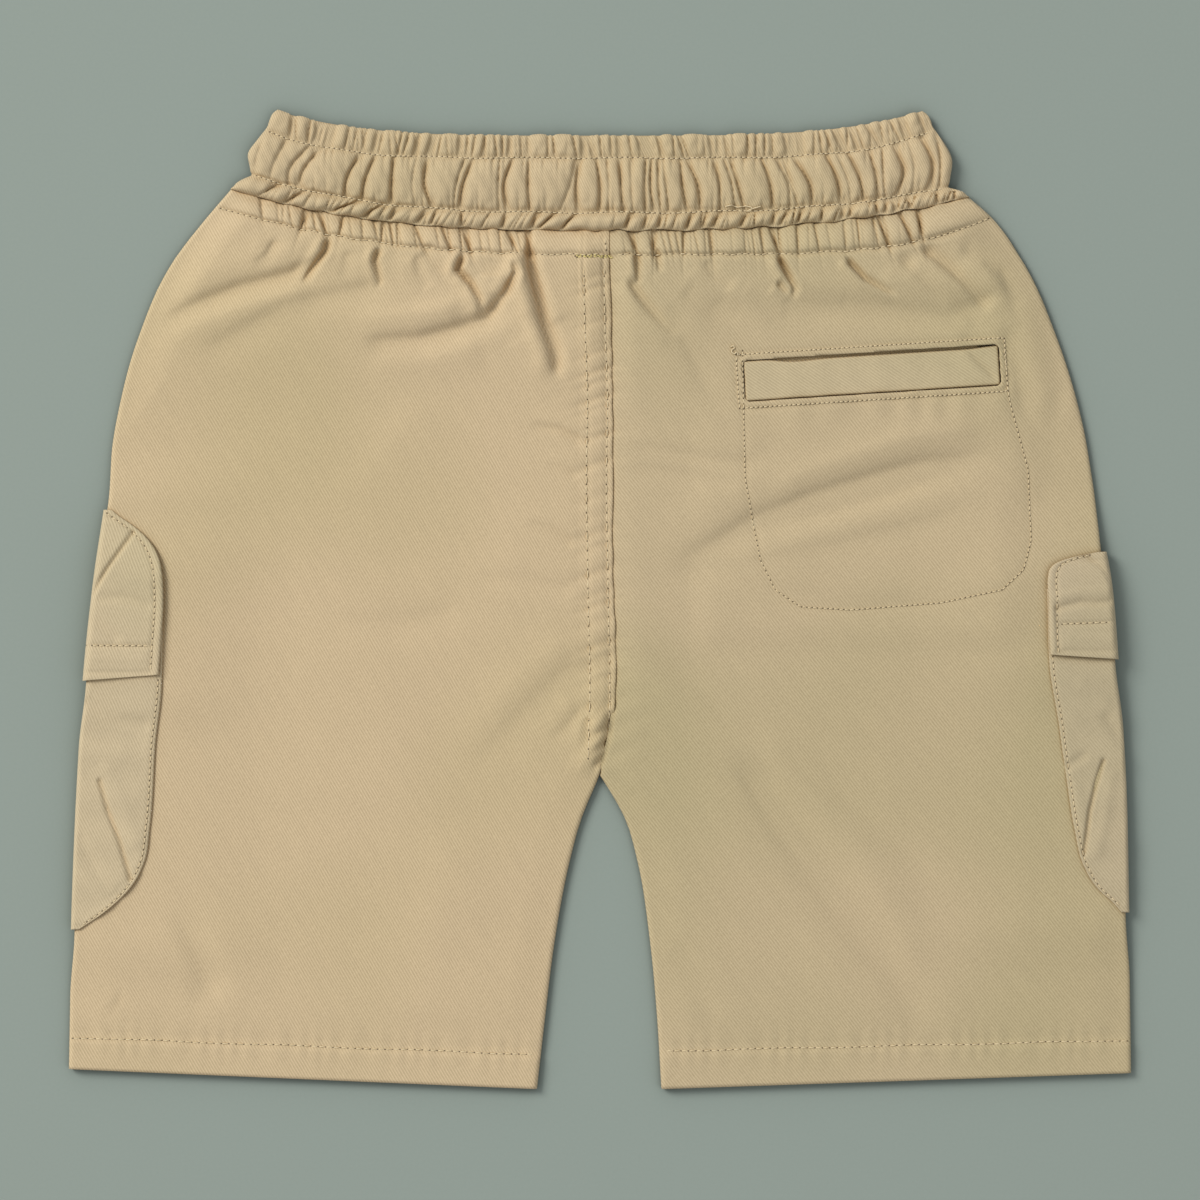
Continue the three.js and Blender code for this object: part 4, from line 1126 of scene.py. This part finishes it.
def cargo_pocket(name, leg, details):
    rows = []
    for y in heights_of(leg.pocket_shape):
        layers = wraps(leg, y)
        rows.append(Wrap(y, y, read(leg.pocket_shape, y), read(leg.outline, y) - LAYER * (layers - 1),
                         max(LAYER * (layers - 1), 0), LAYER * (layers + 2) - PRESSED))
    return wrapped_piece(name, leg, rows, details, leg.pocket_shape)


def cargo_flap(name, leg, details):
    bottom = leg.flap[1]
    rows = []
    for y in heights_of(leg.flap_shape):
        layers = wraps(leg, y)
        free_y = y + (leg.flap_free_bottom - bottom) * ramp(y, bottom + 10, bottom)
        rows.append(Wrap(y, free_y, read(leg.flap_shape, y), read(leg.outline, y),
                         0, LAYER * (2 * layers + 1) - 1.4 * PRESSED))
    return wrapped_piece(name, leg, rows, details, leg.flap_shape)


def wrapped_piece(name, leg, rows, details, shape):
    grid, reach = wrap_grid(leg, rows)
    back = on_back(grid)
    x, y, z = grid[:, :, 0], grid[:, :, 1], grid[:, :, 2]
    from_ends = np.minimum(y - shape[-1][0], shape[0][0] - y)
    from_edge = np.minimum(np.maximum(reach, 0), np.maximum(from_ends, 0))
    z = z - back * rolled(from_edge, 0.5, 1.2)
    z = z + back * details(leg, x, y, from_edge)
    weave = turned(-leg.side * from_fold(grid), y, leg.twill_angle)
    piece = sheet_from_grid(name, x, y, z, weave, facing="out")
    return thicken(piece)


# %% [markdown]
# The details are what shows on each: the pressed line of its edge stitching, the flap's cross row,
# the slanting dart line of the pocket, and the few soft folds that the cloth has there.

# %% Details of the pockets and flaps
Line = namedtuple("Line", "path depth width")  # a ridge has a depth below 0
FLAP_MARGIN = 3  # from a flap's free edge to its stitches

LEFT_FLAP_ROW = [(-179, -15.8), (-156.5, -16)]
RIGHT_FLAP_ROW = [(160.8, -8.4), (180.9, -7.6)]
LEFT_POCKET_DART = [(-174.5, -63), (-171.7, -73.2), (-167.5, -84.2), (-163.8, -97.3)]
RIGHT_POCKET_DART = [(175.6, -56), (173.2, -63.7), (170.8, -73.3), (168.9, -88)]

LEFT_FLAP_LINES = [
    Line(LEFT_FLAP_ROW, 0.4, 0.9),
    Line([(-162.8, 23.5), (-167, 17.5), (-173.3, 8.1), (-178.5, -1.5)], 0.9, 0.75),
    Line([(-180, -3), (-175, -7.5), (-169, -13.4)], 0.55, 2),
    Line([(-174, 0.6), (-165.9, 1), (-157.5, -1.6)], 0.45, 1.9),
    Line([(-176, 14), (-165, 8), (-156, 7)], -0.3, 3),
    Line([(-176, -20), (-160, -21)], -0.3, 2.2),
]
RIGHT_FLAP_LINES = [
    Line(RIGHT_FLAP_ROW, 0.4, 0.9),
    Line([(159.3, -2.8), (167.5, -0.8), (173.2, -1.1), (181, -0.3)], 0.65, 1.3),
    Line([(159.5, 1.2), (168, 3), (180.5, 3)], -0.35, 1.8),
    Line([(168.9, 15.4), (175.1, 11.1), (178, 6.3)], 0.6, 0.8),
    Line([(157.5, -3), (158.1, -17)], -0.35, 1),
    Line([(164, -13), (179, -14)], -0.3, 2.2),
]
LEFT_POCKET_LINES = [
    Line(LEFT_POCKET_DART, 0.95, 0.75),
    Line([(-172, -60), (-166, -72), (-162, -84)], -0.5, 3),
    Line([(-178, -36), (-168, -42), (-159, -43)], 0.5, 2.6),
    Line([(-180, -52), (-168, -54)], -0.35, 3.5),
    Line([(-181, -84), (-175, -96), (-168, -104)], 0.45, 2.4),
    Line([(-160.5, -96), (-164.5, -101.5), (-174, -110.5)], -0.4, 1.3),
]
RIGHT_POCKET_LINES = [
    Line(RIGHT_POCKET_DART, 0.95, 0.75),
    Line([(163.1, -58), (168.5, -54.5)], 0.55, 1.8),
    Line([(177, -41), (182.5, -51)], 0.55, 2.2),
    Line([(168, -30), (176, -34)], -0.35, 3),
    Line([(178, -62), (176, -76), (173, -88)], -0.4, 2.4),
    Line([(166, -66), (168, -80)], -0.3, 2.4),
]


def pressed_lines(x, y, lines):
    return sum(groove(along_path(line.path, x, y)[0], line.depth, line.width) for line in lines)


def flap_details(leg, x, y, from_edge):
    bend = 0.2 * np.sin(y * 0.35 + x * 0.2)
    folds = pressed_lines(x, y, LEFT_FLAP_LINES if leg is LEFT else RIGHT_FLAP_LINES)
    return folds + groove(from_edge - FLAP_MARGIN, 0.3, 0.8) + bend * ramp(from_edge, 0, 5)


def pocket_details(leg, x, y, from_edge):
    bend = 0.3 * np.sin(y * 0.16 + x * 0.12) + 0.15 * np.sin(y * 0.43)
    folds = pressed_lines(x, y, LEFT_POCKET_LINES if leg is LEFT else RIGHT_POCKET_LINES)
    return folds + groove(from_edge - 1.3, 0.25, 0.6) + bend * ramp(from_edge, 0, 7)


pocket_left = cargo_pocket("cargo_pocket_left_cloth", LEFT, pocket_details)
pocket_right = cargo_pocket("cargo_pocket_right_cloth", RIGHT, pocket_details)
flap_left = cargo_flap("cargo_flap_left_cloth", LEFT, flap_details)
flap_right = cargo_flap("cargo_flap_right_cloth", RIGHT, flap_details)
wrapped = (pocket_left, pocket_right, flap_left, flap_right)
print("pockets and flaps:", [triangles(piece) for piece in wrapped])

# %% [markdown]
# ## Stitches
#
# A lockstitch shows as short thick grains of thread, each pulled down into a needle hole at both ends. One
# grain is modelled from a small sphere and one hole from a small dark disc of painted shade, and both are
# copied along every line of sewing. A ray from above finds the cloth under each of them.

# %% One stitch and one needle hole
THREAD = 0.46  # a coarse 3-ply thread, drawn a little thicker than its 0.35 mm so that it shows
HOLE = 0.74
HEM_PITCH, SEAM_PITCH, EDGE_PITCH, BAND_PITCH = 2.6, 3.3, 2.2, 1.8  # lengths of a stitch
WINDOW_PITCH, BAG_PITCH = 1.65, 1.85
RAY_START = 0.03  # m above the table, over all the cloth
STITCH_SEED = 1


def model_grain():
    """A grain of thread 1 long and 1 thick, with its ends bent down."""
    bpy.ops.object.select_all(action="DESELECT")
    bpy.ops.mesh.primitive_uv_sphere_add(segments=6, ring_count=5, radius=0.5)
    grain = bpy.context.object
    bpy.ops.object.mode_set(mode="EDIT")
    bpy.ops.transform.rotate(value=math.pi / 2, orient_axis="Y", center_override=(0, 0, 0))
    bpy.ops.object.mode_set(mode="OBJECT")
    for corner in grain.data.vertices:
        corner.co.z -= 1.6 * abs(corner.co.x) ** 2
    return take_shape(grain)


def model_hole():
    bpy.ops.object.select_all(action="DESELECT")
    bpy.ops.mesh.primitive_circle_add(vertices=6, radius=0.5, fill_type="TRIFAN")
    hole = bpy.context.object
    for corner in hole.data.vertices:
        corner.co.z += 0.12 if corner.co.xy.length < 0.1 else 0
    return take_shape(hole)


def take_shape(thing):
    """The points and triangles of a modelled thing, which is then removed."""
    mesh = bmesh.new()
    mesh.from_mesh(thing.data)
    bmesh.ops.triangulate(mesh, faces=mesh.faces)
    bmesh.ops.recalc_face_normals(mesh, faces=mesh.faces)
    mesh.verts.index_update()
    points = np.array([corner.co for corner in mesh.verts])
    faces = np.array([[corner.index for corner in face.verts] for face in mesh.faces])
    mesh.free()
    bpy.data.objects.remove(thing, do_unlink=True)
    return points, faces


GRAIN = model_grain()
NEEDLE_HOLE = model_hole()
print("one stitch:", len(GRAIN[1]), "triangles, one hole:", len(NEEDLE_HOLE[1]))

# %% [markdown]
# The lines of sewing are paths over the cloth. Each is walked in equal steps of its own stitch
# length, with a little unevenness, as a machine leaves it on soft cloth.

# %% Walk a line of sewing
def surface_of(*pieces):
    """What rays are cast at: the pieces' faces as one tree."""
    points, faces = [], []
    for piece in pieces:
        mesh = piece.data
        start = len(points)
        points += [corner.co.copy() for corner in mesh.vertices]
        faces += [[start + i for i in polygon.vertices] for polygon in mesh.polygons]
    return BVHTree.FromPolygons(points, faces)


def touch(surface, x, y):
    """Where a ray from above meets the cloth, and which way it faces there."""
    point, normal, _, _ = surface.ray_cast(Vector((x * MM, y * MM, RAY_START)), Vector((0, 0, -1)))
    if point is None:
        return None
    if normal.z < 0:
        normal = -normal
    return np.array(point) / MM, np.array(normal)


def evenly(path, pitch):
    """Points along a path, a stitch length apart."""
    points = np.array(path, float)
    lengths = np.concatenate([[0], np.cumsum(np.hypot(*np.diff(points, axis=0).T))])
    places = np.arange(0, lengths[-1], pitch)
    return np.stack([np.interp(places, lengths, points[:, k]) for k in (0, 1)], axis=1)


def placed(shape, middle, along, normal, size):
    points, faces = shape
    side = np.cross(normal, along)
    side /= np.linalg.norm(side)
    frame_axes = np.stack([along, side, normal])
    return middle + (points * size) @ frame_axes, faces


def stitch_line(parts, surface, path, pitch, thread=THREAD):
    """Adds the stitches and holes along one path to the parts of a sewing."""
    draw = random.Random(STITCH_SEED)
    stops = evenly(path, pitch)
    for start, end in zip(stops, stops[1:]):
        first, last = (touch(surface, *place) for place in (start, end))
        if first is None or last is None or abs(first[0][2] - last[0][2]) > pitch:
            continue
        step = last[0] - first[0]
        length = np.linalg.norm(step)
        along, normal = step / length, first[1] + last[1]
        normal /= np.linalg.norm(normal)
        middle = (first[0] + last[0]) / 2 + normal * 0.1
        size = (length * draw.uniform(0.74, 0.86), thread, thread * 0.8)
        parts["thread"].append(placed(GRAIN, middle, along, normal, size))
        flat = np.cross(np.cross(first[1], along), first[1])
        flat /= np.linalg.norm(flat)
        hole = (HOLE * draw.uniform(0.8, 1.1), HOLE * 0.8, 1)
        parts["hole"].append(placed(NEEDLE_HOLE, first[0] + first[1] * 0.02, flat, first[1], hole))


def sewing(name, parts, thread_material, hole_material):
    """One object from the stitches and the holes of several lines."""
    points, faces, kinds = [], [], []
    count = 0
    for kind, shapes in enumerate((parts["thread"], parts["hole"])):
        for shape_points, shape_faces in shapes:
            points.append(shape_points)
            faces.append(shape_faces + count)
            kinds += [kind] * len(shape_faces)
            count += len(shape_points)
    points = np.concatenate(points)
    piece = make_mesh(name, points, np.concatenate(faces), points[:, :2])
    piece.data.materials.append(thread_material)
    piece.data.materials.append(hole_material)
    piece.data.polygons.foreach_set("material_index", kinds)
    return smooth(piece)


# %% [markdown]
# ## Materials
#
# Cotton twill is a woven cloth whose yarns cross in steps, so it shows fine diagonal ribs. It is matt, with a
# faint pale sheen at grazing angles from its fibre ends. The dye varies a little in broad soft patches, some
# of them greyer and greener. Deep in the gathers the cloth's colour is painted warmer and darker, as painted
# shade for the light that goes from fold to fold there. Sewing thread is the same cotton, spun tight.

# %% Colours and nodes
def colour(text):
    """Linear RGBA from an sRGB hex value."""
    channels = [int(text[i:i + 2], 16) / 255 for i in (0, 2, 4)]
    return (*[c / 12.92 if c <= 0.04045 else ((c + 0.055) / 1.055) ** 2.4 for c in channels], 1)


def add_node(tree, kind, links=None, **settings):
    """Adds a node. Settings name its properties or inputs, links its inputs' sources."""
    node = tree.nodes.new(kind)
    for name, value in settings.items():
        if hasattr(node, name):
            setattr(node, name, value)
        else:
            node.inputs[name.replace("_", " ")].default_value = value
    for name, source in (links or {}).items():
        tree.links.new(source, node.inputs[name])
    return node


def new_material(name):
    material = bpy.data.materials.new(name)
    material.use_nodes = True
    material.node_tree.nodes.clear()
    return material, material.node_tree


def finish_material(tree, shader):
    add_node(tree, "ShaderNodeOutputMaterial", {"Surface": shader.outputs["BSDF"]})


# %% Cotton twill
TWILL_RIB = 0.92  # mm from rib to rib, drawn coarser than the real 0.7 so that the render shows it
RIB_SCALE = 0.314 / TWILL_RIB  # the wave texture has its bands pi / 10 apart at a scale of 1
# Painted shade: the warm darker colour that the twill is multiplied by in creases and gathers.
CREASE_PAINTED_SHADE = "dcc7a6"  # what the cloth's colour is multiplied by deep in the gathers


def mix_colour(tree, factor, first, second, blend="MIX"):
    mix = add_node(tree, "ShaderNodeMix", data_type="RGBA", blend_type=blend)
    for socket, value in ((mix.inputs[0], factor), (mix.inputs[6], first), (mix.inputs[7], second)):
        if isinstance(value, bpy.types.NodeSocket):
            tree.links.new(value, socket)
        else:
            socket.default_value = value
    return mix.outputs[2]


def noise(tree, vector, scale, detail):
    return add_node(tree, "ShaderNodeTexNoise", {"Vector": vector}, Scale=scale, Detail=detail).outputs["Fac"]


def stretched(tree, vector, share):
    """The vector with its second axis drawn out, so that a pattern on it turns to streaks."""
    return add_node(tree, "ShaderNodeMapping", {"Vector": vector}, Scale=(1.0, share, 1.0)).outputs["Vector"]


def map_range(tree, value, start, end, low=0.0, high=1.0):
    return add_node(tree, "ShaderNodeMapRange", {"Value": value}, From_Min=start, From_Max=end,
                    To_Min=low, To_Max=high).outputs[0]


def finish_cloth(tree, shade, relief, strength, distance, **finish):
    """Gives a material its colour, its bump and its finish."""
    bump = add_node(tree, "ShaderNodeBump", {"Height": relief}, Strength=strength, Distance=distance)
    links = {"Base Color": shade, "Normal": bump.outputs["Normal"]}
    finish_material(tree, add_node(tree, "ShaderNodeBsdfPrincipled", links, **finish))


def cotton_twill(name, rib, furrow, cast):
    """Dyed cotton twill: ribs on a darker ground, a greener cast in broad patches, and painted shade, warmer
    and darker, deep in creases and gathers.
    """
    material, tree = new_material(name)
    weave = add_node(tree, "ShaderNodeUVMap", uv_map="weave")
    place = add_node(tree, "ShaderNodeTexCoord")
    wave = add_node(tree, "ShaderNodeTexWave", {"Vector": weave.outputs["UV"]}, wave_type="BANDS",
                    bands_direction="X", Scale=RIB_SCALE, Distortion=0.9, Detail=2.0, Detail_Scale=0.35)
    yarn = noise(tree, stretched(tree, weave.outputs["UV"], 0.45), 1.6, 3.0)
    slub = noise(tree, stretched(tree, weave.outputs["UV"], 0.2), 0.35, 3.0)
    patch = noise(tree, place.outputs["Object"], 8.0, 1.0)
    relief = add_node(tree, "ShaderNodeMath", {0: wave.outputs["Fac"], 1: yarn}, operation="ADD").outputs[0]
    cloth = mix_colour(tree, map_range(tree, relief, 0.0, 2.0), colour(furrow), colour(rib))
    cloth = mix_colour(tree, map_range(tree, patch, 0.46, 0.68, 0.0, 0.55), cloth, colour(cast), "MULTIPLY")
    streak = map_range(tree, slub, 0.3, 0.7, 0.98, 1.02)
    grey = add_node(tree, "ShaderNodeCombineColor", {0: streak, 1: streak, 2: streak})
    cloth = mix_colour(tree, 1.0, cloth, grey.outputs[0], "MULTIPLY")
    # Painted shade: where an occlusion node finds cloth close by, in creases and gathers, the colour is
    # multiplied by a warm darker colour.
    painted_shade_occlusion = add_node(tree, "ShaderNodeAmbientOcclusion", samples=6, Distance=0.004)
    deep = mix_colour(tree, 1.0, cloth, colour(CREASE_PAINTED_SHADE), "MULTIPLY")
    cloth = mix_colour(tree, map_range(tree, painted_shade_occlusion.outputs["AO"], 0.3, 0.95), deep, cloth)
    finish_cloth(tree, cloth, relief, 0.45, 0.00016, Roughness=0.9, Sheen_Weight=0.12, Sheen_Roughness=0.45)
    return material


# The leg twills are lit and shaded copies of one cloth: the left is painted lighter and the right darker and
# a little greener, as painted light from the upper left.
TWILL_LEFT_PAINTED_LIT = cotton_twill("khaki_cotton_twill_left_painted_lit", "d6c09b", "ab9673", "eef3e6")
TWILL_RIGHT_PAINTED_SHADE = cotton_twill("khaki_cotton_twill_right_painted_shade", "cdba96", "a28f6d", "e6efe0")
TWILL_WAIST = cotton_twill("khaki_cotton_twill_waist", "cfbb96", "a69270", "eef2e6")
TWILL_POCKET = cotton_twill("khaki_cotton_twill_pocket", "cdbc98", "a69574", "eaf1e4")
TWILL_CARGO_LEFT = cotton_twill("khaki_cotton_twill_cargo_left", "d1bf9d", "a99877", "e9f2e4")
TWILL_CARGO_RIGHT = cotton_twill("khaki_cotton_twill_cargo_right", "cdbb9c", "a59376", "e9f0e4")
print("twill ribs every", TWILL_RIB, "mm")

# %% Thread and needle holes
def cotton_thread(name, light, dark):
    """Spun cotton thread: two tones twisted round it, with a soft shine."""
    material, tree = new_material(name)
    place = add_node(tree, "ShaderNodeTexCoord")
    twist = noise(tree, place.outputs["Object"], 2400.0, 1.0)
    shade = mix_colour(tree, twist, colour(dark), colour(light))
    finish_cloth(tree, shade, twist, 0.4, 0.00008, Roughness=0.65, Sheen_Weight=0.1)
    return material


KHAKI_THREAD = cotton_thread("khaki_cotton_thread", "e0d0ab", "bda982")
TACK_THREAD = cotton_thread("straw_cotton_thread", "dccf8c", "b5a35c")
# The needle holes are dark discs of painted shade, in a thread-like material.
HOLE_SHADE = cotton_thread("needle_hole_shade", "6f5d40", "584931")

# %% [markdown]
# ## Sewing every seam
#
# Rows: both hems, the two rows of the lapped centre seam, the topstitch under the waist, the two
# rows over the elastic, the frame of the window, the bag, the edges of pockets and flaps, and a bar
# of straw-coloured thread over the centre seam.

# %% Paths of the sewing
def hem_path(leg):
    outer, inner = leg.outline[0][1] - 1.5, leg.inseam[0][1] + 0.5
    places = np.linspace(outer, inner, 12)
    return [(leg.side * d, hem_line(leg, d) + 0.25 * math.sin(d * 0.13)) for d in places]


ROWS_STRAIGHT_BELOW = -42  # the rows of the centre seam don't bend with the crotch


def centre_path(offset):
    heights = np.linspace(CROTCH_Y + 6, 119, 40)
    seam = read(CENTRE_SEAM, np.maximum(heights, ROWS_STRAIGHT_BELOW)) + 0.25 * np.sin(heights * 0.11)
    return list(zip(seam - offset, heights))


def topstitch_path(leg):
    inner, outer = inner_edge(leg, leg.topstitch.middle), leg.topstitch.half + 4
    places = np.linspace(outer, inner + 0.5, 60)
    return [(leg.side * d, seam_height(leg.topstitch, d)) for d in places]


def band_path(height, sway):
    s = np.linspace(-0.985, 0.985, 120)
    x, y = band_place(np.full(s.shape, height), s)
    return list(zip(x, y + sway * np.sin(x * 0.19)))


def window_path(margin):
    along, across = WINDOW.width / 2 + margin, WINDOW.height / 2 + margin
    corners = [(-along, across), (along, across), (along, -across), (-along, -across), (-along, across)]
    return [from_window(*corner) for corner in corners]


def edge_path(leg, shape, offset):
    """A line at an offset inside the free edge of a pocket or flap, from its top to its bottom."""
    top, bottom = shape[0][0] - 1.2, shape[-1][0] + 1.2
    heights = np.linspace(top, bottom, 60)
    fold = read(leg.outline, heights)
    if shape is leg.pocket_shape:
        fold = fold - LAYER * (wraps(leg, heights) - 1)
    return list(zip(leg.side * (fold - read(shape, heights) + offset), heights))


# %% Stitch the legs
def new_parts():
    return {"thread": [], "hole": []}


WINDOW_MARGIN = 2.1  # from the window to its stitches
SEAM_END = [(2.2, 122), (1.6, 127.6)]  # the centre seam goes on over the gathered strip
TACK_BAR = [
    (-8.6, 119.9), (-6.4, 120.4), (-4.2, 119.7), (-2, 120.5), (0.4, 119.8), (2.4, 120.3), (4.4, 119.7),
]


def leg_sewing(name, leg, panel):
    parts = new_parts()
    surface = surface_of(panel)
    stitch_line(parts, surface, hem_path(leg), HEM_PITCH)
    stitch_line(parts, surface, topstitch_path(leg), EDGE_PITCH)
    if leg is LEFT:
        for row in SEAM_ROWS:
            stitch_line(parts, surface, centre_path(row), SEAM_PITCH)
        stitch_line(parts, surface, SEAM_END, EDGE_PITCH)
    else:
        stitch_line(parts, surface, window_path(WINDOW_MARGIN), WINDOW_PITCH, THREAD * 1.1)
        stitch_line(parts, surface, BAG_STITCH, BAG_PITCH, THREAD * 0.9)
    return sewing(name, parts, KHAKI_THREAD, HOLE_SHADE)


def tack_sewing(name):
    """A bar of straw-coloured thread that holds the strip down over the centre seam."""
    parts = new_parts()
    surface = surface_of(back_left, back_right)
    stitch_line(parts, surface, TACK_BAR, 1.3, THREAD * 1.15)
    stitch_line(parts, surface, [(x + 0.6, y - 0.5) for x, y in TACK_BAR], 1.9, THREAD)
    return sewing(name, parts, TACK_THREAD, HOLE_SHADE)


stitches_left = leg_sewing("leg_stitches_left", LEFT, back_left)
stitches_right = leg_sewing("leg_stitches_right", RIGHT, back_right)
stitches_tack = tack_sewing("centre_tack_stitches")

# %% Stitch the waistband
def waist_sewing(name):
    parts = new_parts()
    surface = surface_of(waist_back)
    for height, sway in ((UPPER_STITCH, 0.25), (LOWER_STITCH, 0.3)):
        stitch_line(parts, surface, band_path(height, sway), BAND_PITCH)
    return sewing(name, parts, KHAKI_THREAD, HOLE_SHADE)


stitches_waist = waist_sewing("waistband_stitches")

# %% Loose ends of thread
# One end was left in a flat loop on the ruffle, the other in a knot at the welt's corner.
RUFFLE_LOOP = [
    (43.8, 137.2), (45.9, 137.7), (48.1, 137), (50.8, 137.5), (53.1, 136.9), (52.5, 135.8),
    (51.2, 135.6), (52.4, 136.3), (56.2, 137.3),
]
WELT_KNOT = [
    (45.6, 88.3), (46.6, 88.8), (47, 87.8), (46, 87.4), (45.9, 86.4), (47, 85.8), (47.6, 86.6),
    (48.4, 85.4),
]


def loose_thread(name, surface, path):
    """A thin tube that lies on the cloth along a path."""
    bends = evenly([*path, path[-1]], 0.4)
    curve = bpy.data.curves.new(name, "CURVE")
    curve.dimensions = "3D"
    curve.bevel_depth = THREAD / 2 * MM
    curve.bevel_resolution = 1
    line = curve.splines.new("NURBS")
    line.points.add(len(bends) - 1)
    line.use_endpoint_u = True
    for point, (x, y) in zip(line.points, bends):
        height = touch(surface, x, y)[0][2] + THREAD / 2
        point.co = (x * MM, y * MM, height * MM, 1)
    thread = new_object(name, curve)
    select_only(thread)
    bpy.ops.object.convert(target="MESH")
    thread.data.materials.append(KHAKI_THREAD)
    bpy.ops.object.shade_smooth()
    return thread


loop = loose_thread("loose_thread_on_ruffle", surface_of(waist_back), RUFFLE_LOOP)
knot = loose_thread("thread_knot_at_welt", surface_of(back_right), WELT_KNOT)

# %% Stitch the pockets and flaps
def pocket_sewing(name, leg, pocket, flap):
    parts = new_parts()
    on_pocket, on_flap = surface_of(pocket), surface_of(flap)
    pocket_edge = edge_path(leg, leg.pocket_shape, 1.4)
    below_flap = [(x, y) for x, y in pocket_edge if y < leg.flap[1] + 2]
    stitch_line(parts, on_pocket, below_flap, EDGE_PITCH)
    stitch_line(parts, on_flap, edge_path(leg, leg.flap_shape, FLAP_MARGIN), EDGE_PITCH)
    stitch_line(parts, on_flap, LEFT_FLAP_ROW if leg is LEFT else RIGHT_FLAP_ROW, EDGE_PITCH)
    return sewing(name, parts, KHAKI_THREAD, HOLE_SHADE)


stitches_pocket_left = pocket_sewing("pocket_stitches_left", LEFT, pocket_left, flap_left)
stitches_pocket_right = pocket_sewing("pocket_stitches_right", RIGHT, pocket_right, flap_right)

# %% [markdown]
# ## Saying what each piece is
#
# Every piece rides on the shorts' one body and stands for its solid. A sheet also states the cut it
# came from, which is the cloth laid flat before it was gathered or wrapped.

# %% Pieces, cuts and finishes
CUTS = [
    # piece, node, slot, twill, width and length of the cut in mm, share of it that is cloth, held
    (back_left, "back_panel_left", "twill_legs", TWILL_LEFT_PAINTED_LIT, 195, 325, 0.86, "gathered"),
    (back_right, "back_panel_right", "twill_legs", TWILL_RIGHT_PAINTED_SHADE, 195, 325, 0.82, "gathered"),
    (front_left, "front_panel_left", "twill_legs", TWILL_LEFT_PAINTED_LIT, 195, 325, 0.86, "gathered"),
    (front_right, "front_panel_right", "twill_legs", TWILL_RIGHT_PAINTED_SHADE, 195, 325, 0.86, "gathered"),
    (waist_back, "waistband_back", "twill_waistband", TWILL_WAIST, 335, 34, 1, "gathered"),
    (waist_front, "waistband_front", "twill_waistband", TWILL_WAIST, 335, 34, 1, "gathered"),
    (bag, "back_pocket_bag", "twill_pockets", TWILL_POCKET, 92, 95, 0.96, "laid"),
    (welt, "back_pocket_welt", "twill_pockets", TWILL_POCKET, 90, 15, 1, "laid"),
    (pocket_left, "cargo_pocket_left", "twill_pockets", TWILL_CARGO_LEFT, 62, 123, 0.9, "folded"),
    (pocket_right, "cargo_pocket_right", "twill_pockets", TWILL_CARGO_RIGHT, 58, 113, 0.88, "folded"),
    (flap_left, "cargo_flap_left", "twill_pockets", TWILL_CARGO_LEFT, 63, 60, 0.86, "folded"),
    (flap_right, "cargo_flap_right", "twill_pockets", TWILL_CARGO_RIGHT, 60, 38, 0.95, "folded"),
]

for piece, node, slot, twill, width, length, share, held in CUTS:
    piece.data.materials.append(twill)
    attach(piece, "root")
    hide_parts(node)
    print(f"{piece.name}: cut {width} x {length} mm, {triangles(piece)} triangles")

for piece, slot in (
    (stitches_left, "twill_legs"), (stitches_right, "twill_legs"), (stitches_waist, "twill_waistband"),
    (stitches_pocket_left, "twill_pockets"), (stitches_pocket_right, "twill_pockets"),
    (stitches_tack, "twill_legs"), (loop, "twill_waistband"), (knot, "twill_legs"),
):
    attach(piece, "root")
    print(f"{piece.name}: {triangles(piece)} triangles")

# %% [markdown]
# ## Table, light and camera
#
# The shorts lie on a plain grey-green board, with a painted shadow that darkens it close round them. A broad
# soft light from the upper left gives each crease its shaded side, and a pale surround fills the rest. The
# camera looks straight down.

# %% Table
def table_top():
    material, tree = new_material("matt_board_with_painted_shadow")
    place = add_node(tree, "ShaderNodeTexCoord")
    grain = noise(tree, place.outputs["Object"], 900.0, 2.0)
    open_board = mix_colour(tree, grain, colour("89948c"), colour("8d978f"))
    # Painted shadow: the board is darkened towards a deeper grey-green where an occlusion node finds the
    # shorts close by.
    painted_shade_occlusion = add_node(tree, "ShaderNodeAmbientOcclusion", Distance=0.03)
    shade = mix_colour(tree, map_range(tree, painted_shade_occlusion.outputs["AO"], 0.5, 1.0), colour("747e77"), open_board)
    shader = add_node(tree, "ShaderNodeBsdfPrincipled", {"Base Color": shade}, Roughness=0.95)
    finish_material(tree, shader)
    bpy.ops.object.select_all(action="DESELECT")
    bpy.ops.mesh.primitive_plane_add(size=12, location=(0, 0, -0.0003))
    board = bpy.context.object
    board.name = "board"
    board.data.materials.append(material)


table_top()

# %% Light
def soft_light(name, place, size, power, tint):
    light = bpy.data.lights.new(name, "AREA")
    light.shape = "SQUARE"
    light.size = size
    light.energy = power
    light.color = tint
    lamp = new_object(name, light)
    lamp.location = place
    lamp.rotation_euler = (-Vector(place)).to_track_quat("-Z", "Y").to_euler()


soft_light("key", place=(-3.6, 2.4, 3.2), size=2.4, power=285, tint=(1, 0.985, 0.96))
soft_light("fill", place=(1.3, -1.0, 2.2), size=2.4, power=12, tint=(0.97, 0.985, 1))

world = bpy.data.worlds.new("pale_room")
world.use_nodes = True
background = world.node_tree.nodes["Background"]
background.inputs["Color"].default_value = (0.95, 0.97, 1, 1)
background.inputs["Strength"].default_value = 0.44
bpy.context.scene.world = world
bpy.context.scene.view_settings.view_transform = "Standard"

# %% Camera
PHOTO_WIDTH = 420  # mm of the table across the frame
LENS, SENSOR = 100, 36

camera = bpy.data.cameras.new("camera")
camera.lens = LENS
camera.sensor_width = SENSOR
eye = new_object("camera", camera)
eye.location = (0, 0, PHOTO_WIDTH * MM * LENS / SENSOR)
bpy.context.scene.camera = eye
print("camera", round(eye.location.z, 3), "m above the table")
